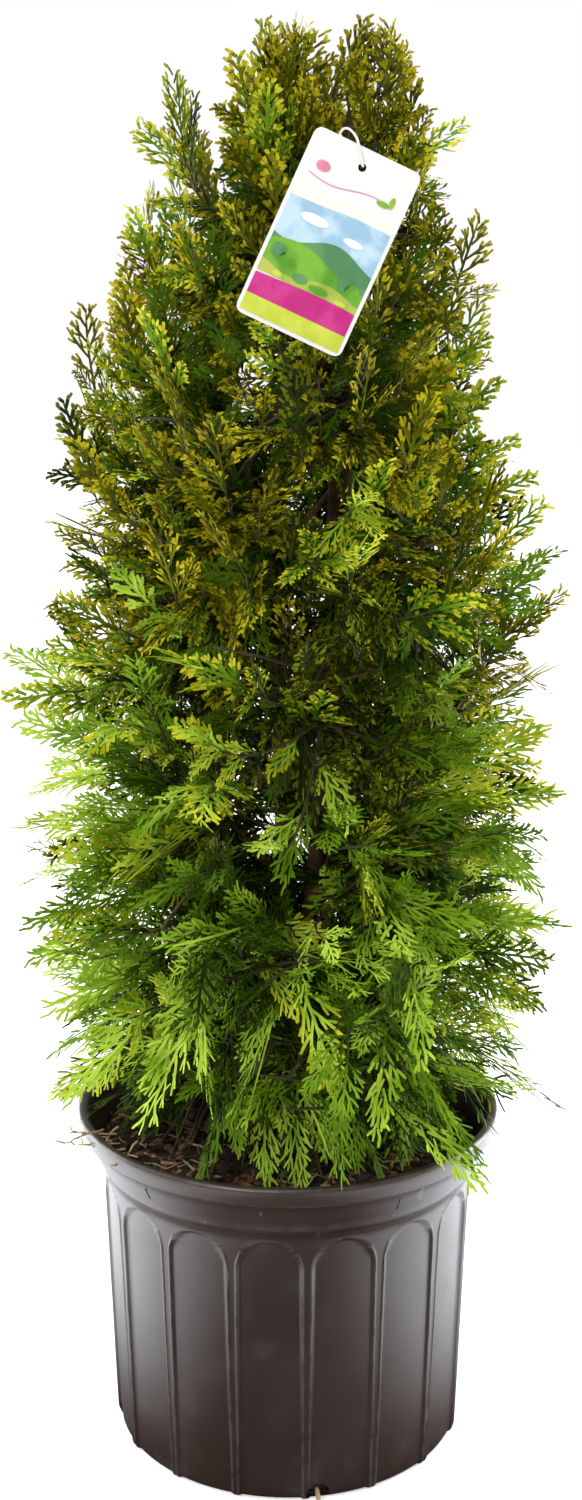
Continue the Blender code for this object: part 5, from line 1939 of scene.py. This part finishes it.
    def mould_marks(self, finishes: Finishes, scatter: Scatter) -> bpy.types.Object:
        """The short upright ribs that the mould left on the collar, set by the scatter tree."""
        shapes = ShapeStore("mark_shapes")
        half, radius, blunt = self.mark_half, self.mark_radius, self.mark_blunt
        pile = MeshPile()
        line = ((-half - blunt, 0.0001), (-half, radius), (half, radius), (half + blunt, 0.0001))
        pile.add(*tube_shape(np.array([(0, 0, z, r) for z, r in line]), 8))
        shapes.add("mark", pile.mesh("mark"))
        batch = []
        for way in self.mark_ways:
            place = bearing(way) * (self.collar_radius - self.mark_inset) + (0, 0, self.mark_level)
            lean = Euler((0.0, math.radians(self.mark_lean_deg), math.radians(way))).to_quaternion()
            batch.append((Spot(place, tuple(lean), (1.0, 1.0, 1.0)), 0))
        made = scatter.piece("mould_marks", shapes, batch, finishes.pot)
        shapes.clear()
        return dress(made, "pot_plastic")


@dataclass
class Soil:
    """The potting mix: its uneven top, chips of bark and straw that lie on it."""

    height: float = 0.2080
    edge_radius: float = 0.1248
    rings: int = 44
    columns: int = 144
    wall: tuple = ((0.1100, 0.0035), (0.1130, 0.008), (0.1195, 0.190))
    relief: tuple = ((38, 3.1, 0.0022), (170, 9.7, 0.0009))
    settled: float = 0.0022
    mound_x: float = -0.02
    mound_y: float = -0.01
    mound_rise: float = 0.0030
    mound_spread: float = 0.0016
    edge_start: float = 0.095
    edge_width: float = 0.030
    edge_fall: float = 0.0030
    chip_count: int = 1900
    chip_kinds: int = 8
    chip_shares: tuple = (("dark", 0.66), ("brown", 0.27), ("tan", 0.07))
    straw_count: int = 46
    dead_twigs: tuple = (
        (-158.0, 0.120, -175.0), (-154.0, 0.132, -120.0), (-150.0, 0.112, -150.0),
        (-147.0, 0.124, 170.0), (-163.0, 0.116, -140.0),
    )
    stalk: tuple = (
        (0.0185, -0.1080, 0.0060, 0.0014),
        (0.0192, -0.1165, 0.0062, 0.0016),
        (0.0200, -0.1230, 0.0048, 0.0015),
        (0.0204, -0.1262, 0.0030, 0.0012),
    )
    seed: int = 7

    def top_at(self, x: float, y: float) -> float:
        """Height of the soil's top at a place."""
        radius = math.hypot(x, y)
        relief = sum(
            noise.noise(Vector((x * pace, y * pace, layer))) * rise
            for pace, layer, rise in self.relief
        )
        away = (x - self.mound_x) ** 2 + (y - self.mound_y) ** 2
        mound = self.mound_rise * math.exp(-away / self.mound_spread)
        edge = self.edge_fall * max(0.0, (radius - self.edge_start) / self.edge_width)
        return self.height - self.settled + relief + mound - edge

    def build(self, finishes: Finishes, scatter: Scatter) -> list[bpy.types.Object]:
        """Makes the soil with what lies on it."""
        turn = np.arange(self.columns) * 2 * math.pi / self.columns
        rings = [
            [(radius * math.cos(a), radius * math.sin(a), height) for a in turn]
            for radius, height in self.wall
        ]
        for radius in np.linspace(self.edge_radius, 0.001, self.rings):
            ring = [(radius * math.cos(a), radius * math.sin(a)) for a in turn]
            rings.append([(x, y, self.top_at(x, y)) for x, y in ring])
        pile = MeshPile()
        pile.add(np.array(rings), capped_faces(len(rings), self.columns))
        pieces = [dress(pile.piece("soil_bed", finishes.plain["soil"]), "soil", "soil")]
        pieces += self.chips(finishes, scatter)
        pieces.append(self.straws(finishes))
        return pieces

    def chip_shapes(self) -> ShapeStore:
        """A few broken flakes of bark, about one unit across."""
        shapes = ShapeStore("chip_shapes")
        rng = np.random.default_rng(self.seed)
        for index in range(self.chip_kinds):
            count = 5 + index % 3
            turn = np.sort(rng.uniform(0, 2 * math.pi, count))
            turn = turn * 0.4 + np.arange(count) * 2 * math.pi / count * 0.6
            rim = np.stack((np.cos(turn), np.sin(turn)), axis=1) * rng.uniform(0.35, 0.55, (count, 1))
            rim[:, 1] *= 0.6
            low = np.column_stack((rim, rng.uniform(-0.10, -0.04, count)))
            high = np.column_stack((rim * 0.86, rng.uniform(0.05, 0.16, count)))
            pile = MeshPile()
            pile.add(np.vstack((low, high)), capped_faces(2, count))
            shapes.add(f"chip_{index}", pile.mesh(f"chip_{index}", smooth=False))
        return shapes

    def chips(self, finishes: Finishes, scatter: Scatter) -> list[bpy.types.Object]:
        """Bark chips in three browns, strewn over the soil."""
        rng = random.Random(self.seed)
        browns, shares = zip(*self.chip_shares)
        dealt: dict[str, list[tuple[Spot, int]]] = {brown: [] for brown in browns}
        for index in range(self.chip_count):
            radius = self.edge_radius * 0.985 * math.sqrt((index + 0.5) / self.chip_count)
            place = bearing(index * GOLDEN_DEG + rng.uniform(-9, 9)) * radius
            size = rng.uniform(0.0035, 0.0095) * (1.35 if rng.random() < 0.08 else 1.0)
            place[2] = self.top_at(place[0], place[1]) + size * rng.uniform(0.02, 0.10)
            lean = Euler((rng.gauss(0, 0.35), rng.gauss(0, 0.35), rng.uniform(0, 6.3)))
            spot = Spot(place, tuple(lean.to_quaternion()), (size * rng.uniform(0.9, 1.9), size, size))
            brown = rng.choices(browns, shares)[0]
            dealt[brown].append((spot, rng.randrange(self.chip_kinds)))
        shapes = self.chip_shapes()
        pieces = []
        for brown, batch in dealt.items():
            piece = scatter.piece(f"chips_{brown}", shapes, batch, finishes.plain[f"chip_{brown}"])
            pieces.append(dress(piece, "soil"))
        shapes.clear()
        return pieces

    def dead_twig(
        self, pile: MeshPile, start: np.ndarray, heading: float, rng: random.Random
    ) -> None:
        """A dry, curled twig with short forks, which lies across the rim."""
        rows, forks = [], []
        place, turn = np.array(start), heading
        for step in range(8):
            rows.append((*place, 0.0009 - 0.00006 * step))
            turn += rng.uniform(-26, 26)
            place = place + bearing(turn) * 0.0045 + (0, 0, rng.uniform(-0.0012, 0.0008))
            if step in (2, 3, 5, 6):
                side = turn + (50 if step % 2 else -50)
                end = place + bearing(side) * rng.uniform(0.004, 0.009) + (0, 0, 0.0012)
                forks.append(((*place, 0.0007), (*end, 0.0006)))
        pile.add(*tube_shape(smooth_rows(rows, 0.0025), 5))
        for fork in forks:
            pile.add(*tube_shape(np.array(fork), 5))

    def straws(self, finishes: Finishes) -> bpy.types.Object:
        """Dead twigs and straw on the soil, over the left of the rim and in a drain notch."""
        pile = MeshPile()
        rng = random.Random(self.seed + 1)
        for index in range(self.straw_count):
            way, radius = rng.uniform(0, 360), 0.112 * math.sqrt(rng.random())
            start = bearing(way) * radius
            turn = rng.uniform(0, 360)
            size = rng.uniform(0.010, 0.034)
            rows = []
            for step in range(4):
                place = start + bearing(turn + step * rng.uniform(-14, 14)) * size * step / 3
                if math.hypot(place[0], place[1]) > 0.119:
                    break
                height = self.top_at(place[0], place[1]) + 0.0016
                rows.append((place[0], place[1], height, 0.0005 + 0.0003 * (index % 2)))
            if len(rows) > 2:
                pile.add(*tube_shape(np.array(rows), 5))
        for way, radius, heading in self.dead_twigs:
            start = bearing(way) * radius + (0, 0, 0.2330 if radius > 0.13 else 0.2240)
            self.dead_twig(pile, start, heading, rng)
        pile.add(*tube_shape(smooth_rows(self.stalk, 0.002), 7, 0.2, 5))
        return dress(pile.piece("straws", finishes.plain["straw"]), "soil")


# Tag


@dataclass
class Tag:
    """The hang tag's print, in plain areas of colour that make a simple landscape."""

    keepouts: Keepouts
    half_width: float = 0.0325
    foot: float = -0.1005
    border: float = 0.0022
    lift: float = 0.00045
    print_step: float = 0.00006
    picture_top: float = -0.0280
    picture_rise: float = 0.0235
    stroke_level: float = -0.0145
    stroke_end: float = 0.016
    stroke_swell: float = 0.0022
    stroke_pace: float = 120.0
    stroke_width: float = 0.0006
    spots: tuple = (
        (-0.0120, -0.0370, 0.0085, 0.0030, Ink.CLOUD),
        (0.0130, -0.0400, 0.0060, 0.0022, Ink.CLOUD),
        (-0.0200, -0.0085, 0.0042, 0.0030, Ink.ROSE),
        (-0.0235, -0.0600, 0.0044, 0.0040, Ink.FAR_HILL),
        (-0.0165, -0.0625, 0.0050, 0.0034, Ink.NEAR_HILL),
        (0.0175, -0.0610, 0.0036, 0.0060, Ink.FAR_HILL),
        (0.0235, -0.0640, 0.0044, 0.0036, Ink.NEAR_HILL),
        (-0.0060, -0.0700, 0.0046, 0.0026, Ink.FAR_HILL),
        (0.0060, -0.0715, 0.0060, 0.0022, Ink.NEAR_HILL),
        (-0.0190, -0.0725, 0.0030, 0.0016, Ink.FOOT),
        (0.0200, -0.0730, 0.0036, 0.0014, Ink.FOOT),
        (0.0190, -0.0135, 0.0040, 0.0016, Ink.NEAR_HILL),
        (0.0235, -0.0110, 0.0016, 0.0034, Ink.MEADOW),
    )

    def area(
        self,
        name: str,
        outline: list[tuple[float, float]],
        ink: Ink,
        level: int,
        finishes: Finishes,
    ) -> bpy.types.Object:
        """One flat printed area.

        Args:
            name: The piece's name.
            outline: Its corners across and up from the tag's hole.
            ink: Its colour.
            level: How many areas lie under it.
            finishes: Where its material is.

        Returns:
            The piece.
        """
        across, up, out = self.keepouts.tag_axes()
        hole = np.array(self.keepouts.tag_hole)
        rise = self.lift + self.print_step * level
        points = [hole + across * x + up * y + out * rise for x, y in outline]
        pile = MeshPile()
        pile.add(np.array(points), [tuple(range(len(points)))])
        return dress(pile.piece(name, finishes.prints[ink.name], smooth=False), "tag_card")

    def wave(self, low: float, base: float, swell: float, turns: float, shift: float) -> list:
        """An area from a low edge up to a waved top edge, over the printed width."""
        wide = self.half_width - self.border
        xs = np.linspace(wide, -wide, 19)
        crest = [(x, base + swell * math.sin(turns * x / wide + shift)) for x in xs]
        return [(-wide, low), (wide, low), *crest]

    def build(self, finishes: Finishes) -> list[bpy.types.Object]:
        """Prints the tag and dresses the card and its tie."""
        for node, finish in (("tag", "card"), ("tag_tie", "tie")):
            obj = frame["nodes"][node]
            obj.data.materials.clear()
            obj.data.materials.append(finishes.plain[finish])
        wide, foot = self.half_width - self.border, self.foot + self.border
        top, low = self.picture_top, foot + self.picture_rise
        rows = (
            ("tag_header", self.wave(top, -0.0215, 0.0016, 1.4, 0.6), Ink.HEADER, 0),
            ("tag_sky", self.wave(low, top, 0.0012, 2.2, 0.4), Ink.SKY, 1),
            ("tag_far_hill", self.wave(low, -0.0490, 0.0042, 3.4, 0.9), Ink.FAR_HILL, 2),
            ("tag_near_hill", self.wave(low, -0.0580, 0.0060, 2.1, 2.6), Ink.NEAR_HILL, 3),
            ("tag_meadow", self.wave(low, -0.0690, 0.0024, 4.2, 0.2), Ink.MEADOW, 4),
            ("tag_band", self.wave(foot + 0.0095, foot + 0.0230, 0.0009, 2.0, 1.0), Ink.MAGENTA, 5),
            ("tag_foot", self.wave(foot, foot + 0.0100, 0.0, 1.0, 0.0), Ink.FOOT, 6),
        )
        pieces = [self.area(name, line, ink, level, finishes) for name, line, ink, level in rows]
        ring = np.linspace(0, 2 * math.pi, 24, endpoint=False)
        for index, (x, y, half, high, ink) in enumerate(self.spots):
            outline = [(x + half * math.cos(a), y + high * math.sin(a)) for a in ring]
            pieces.append(self.area(f"tag_spot_{index}", outline, ink, len(rows), finishes))
        xs = np.linspace(-wide + 0.004, self.stroke_end, 17)
        ys = self.stroke_level + self.stroke_swell * np.sin(xs * self.stroke_pace)
        stroke = list(zip(xs, ys))
        outline = [*stroke, *[(x, y + self.stroke_width) for x, y in reversed(stroke)]]
        pieces.append(self.area("tag_stroke", outline, Ink.ROSE, len(rows), finishes))
        return pieces


# Studio


@dataclass
class Studio:
    """A pale round table, soft lights and the camera at the photograph's angle."""

    lens: PhotoLens
    table_radius: float = 6.0
    table_glow: float = 0.42
    mirrored_world: float = 0.45
    card_glow: float = 2.6
    card_tint: Colour = (0.86, 0.93, 1.0)
    card_inner: float = 0.10
    card_outer: float = 0.32
    flag_outer: float = 0.52
    card_depth: tuple = (-0.46, 0.02)
    table_white: Colour = (0.88, 0.88, 0.88)
    table_dark: Colour = (0.06, 0.05, 0.045)
    lights: tuple = (
        ("key", (-1.1, -1.9, 2.1), (1.2, 1.2), 32.0),
        ("left_side", (-1.7, 0.70, 0.60), (0.9, 1.5), 28.0),
        ("right_side", (1.7, 0.60, 0.60), (0.9, 1.5), 42.0),
        ("top", (0.0, -0.1, 2.6), (1.6, 1.6), 22.0),
    )
    aim: tuple = (0.0, 0.0, 0.45)

    def build(self) -> None:
        """Makes the table, the lights, the world and the camera."""
        self.table()
        for name, place, size, power in self.lights:
            light = bpy.data.lights.new(name, "AREA")
            light.shape, light.energy = "RECTANGLE", power
            light.size, light.size_y = size
            lamp = linked(f"light_{name}", light)
            lamp.location = place
            toward = Vector(self.aim) - Vector(place)
            lamp.rotation_euler = toward.to_track_quat("-Z", "Y").to_euler()
            lamp.visible_camera = False
        self.world()
        self.camera()
        bpy.context.scene.view_settings.view_transform = "Standard"

    def table(self) -> None:
        """A wide white light table, which glows a little from below.

        In the pot's gloss it shows dark in the middle, with a bright card at either side.
        """
        sides = 96
        turn = np.linspace(0, 2 * math.pi, sides, endpoint=False)
        circle = np.stack((np.cos(turn), np.sin(turn), np.zeros(sides)), axis=1)
        outer = [tuple(reversed(face)) for face in grid_faces(2, sides, True)]
        pile = MeshPile()
        pile.add(np.vstack((circle, circle * self.table_radius)), [tuple(range(sides)), *outer])
        made, bench, shader = start_material("light_table")
        x, y, _ = bench.add("ShaderNodeSeparateXYZ", {0: bench.object_place()}).outputs
        aside = bench.maths("ABSOLUTE", x)
        mirrored = bench.add("ShaderNodeLightPath").outputs["Is Glossy Ray"]
        flag = bench.ramp(aside, self.card_inner, self.flag_outer, 1.0, 0.0, smooth=True)
        dark = bench.maths("MULTIPLY", flag, mirrored)
        wide = bench.ramp(aside, self.card_inner, self.card_outer, high=self.card_glow, smooth=True)
        card = bench.maths("MULTIPLY", wide, bench.ramp(y, *self.card_depth, smooth=True))
        shine = bench.maths("MULTIPLY", card, mirrored)
        finish = {
            "Base Color": bench.mix(dark, opaque(self.table_white), opaque(self.table_dark)),
            "Emission Color": bench.mix(mirrored, opaque(WHITE), opaque(self.card_tint)),
            "Emission Strength": bench.maths(
                "ADD", bench.ramp(dark, low=self.table_glow, high=0.0), shine
            ),
            "Roughness": 0.9,
        }
        bench.feed(shader, finish)
        pile.piece("studio_table", made)

    def world(self) -> None:
        """Soft light from above, behind and both sides, and little from the camera's side."""
        world = bpy.data.worlds.new("studio_world")
        world.use_nodes = True
        bench = NodeBench(world.node_tree)
        way = bench.add("ShaderNodeTexCoord").outputs["Generated"]
        x, y, z = bench.add("ShaderNodeSeparateXYZ", {0: way}).outputs
        back = bench.ramp(y, -0.75, 0.35, 0.16, 0.75)
        above = bench.ramp(z, high=0.75)
        wide = bench.maths("MULTIPLY", bench.maths("MULTIPLY", x, x), 0.35)
        total = bench.maths("ADD", bench.maths("ADD", back, above), wide)
        path = bench.add("ShaderNodeLightPath").outputs
        dimmed = bench.maths("MULTIPLY", total, self.mirrored_world)
        lit = bench.mix(path["Is Glossy Ray"], total, dimmed, "FLOAT")
        shown = bench.mix(path["Is Camera Ray"], lit, 1.0, "FLOAT")
        bench.feed(world.node_tree.nodes["Background"], {"Color": opaque(WHITE), "Strength": shown})
        bpy.context.scene.world = world

    def camera(self) -> None:
        """The camera at the photograph's place and angle."""
        data = bpy.data.cameras.new("photo_camera")
        data.sensor_fit = "VERTICAL"
        data.sensor_height = 36.0
        data.lens = self.lens.focal_px * data.sensor_height / self.lens.frame_px[1]
        data.shift_x = (self.lens.frame_px[0] / 2 - self.lens.middle_px) / self.lens.frame_px[1]
        data.clip_start, data.clip_end = 0.01, 50.0
        camera = linked("photo_camera", data)
        camera.location = self.lens.place
        camera.rotation_euler = (math.radians(90 - self.lens.pitch_deg), 0.0, 0.0)
        bpy.context.scene.camera = camera


def main() -> None:
    """Builds every dressed piece of the potted plant in order."""
    logging.basicConfig(level=logging.INFO, format="%(name)s: %(message)s")
    finishes = Finishes()
    lens = PhotoLens()
    Studio(lens).build()
    crown, keepouts = Crown(), Keepouts()
    scatter = Scatter()
    pieces = Pot().build(finishes, scatter)
    pieces += Soil().build(finishes, scatter)
    pieces += Limbs(crown).build(finishes)
    foliage = Foliage(crown, keepouts, lens)
    foliage.grow()
    pieces += foliage.build(finishes, scatter)
    pieces += Tag(keepouts).build(finishes)
    total = sum(sum(len(face.vertices) - 2 for face in piece.data.polygons) for piece in pieces)
    LOG.info("pieces: %d, triangles: %d", len(pieces), total)


if __name__ == "__main__":
    main()
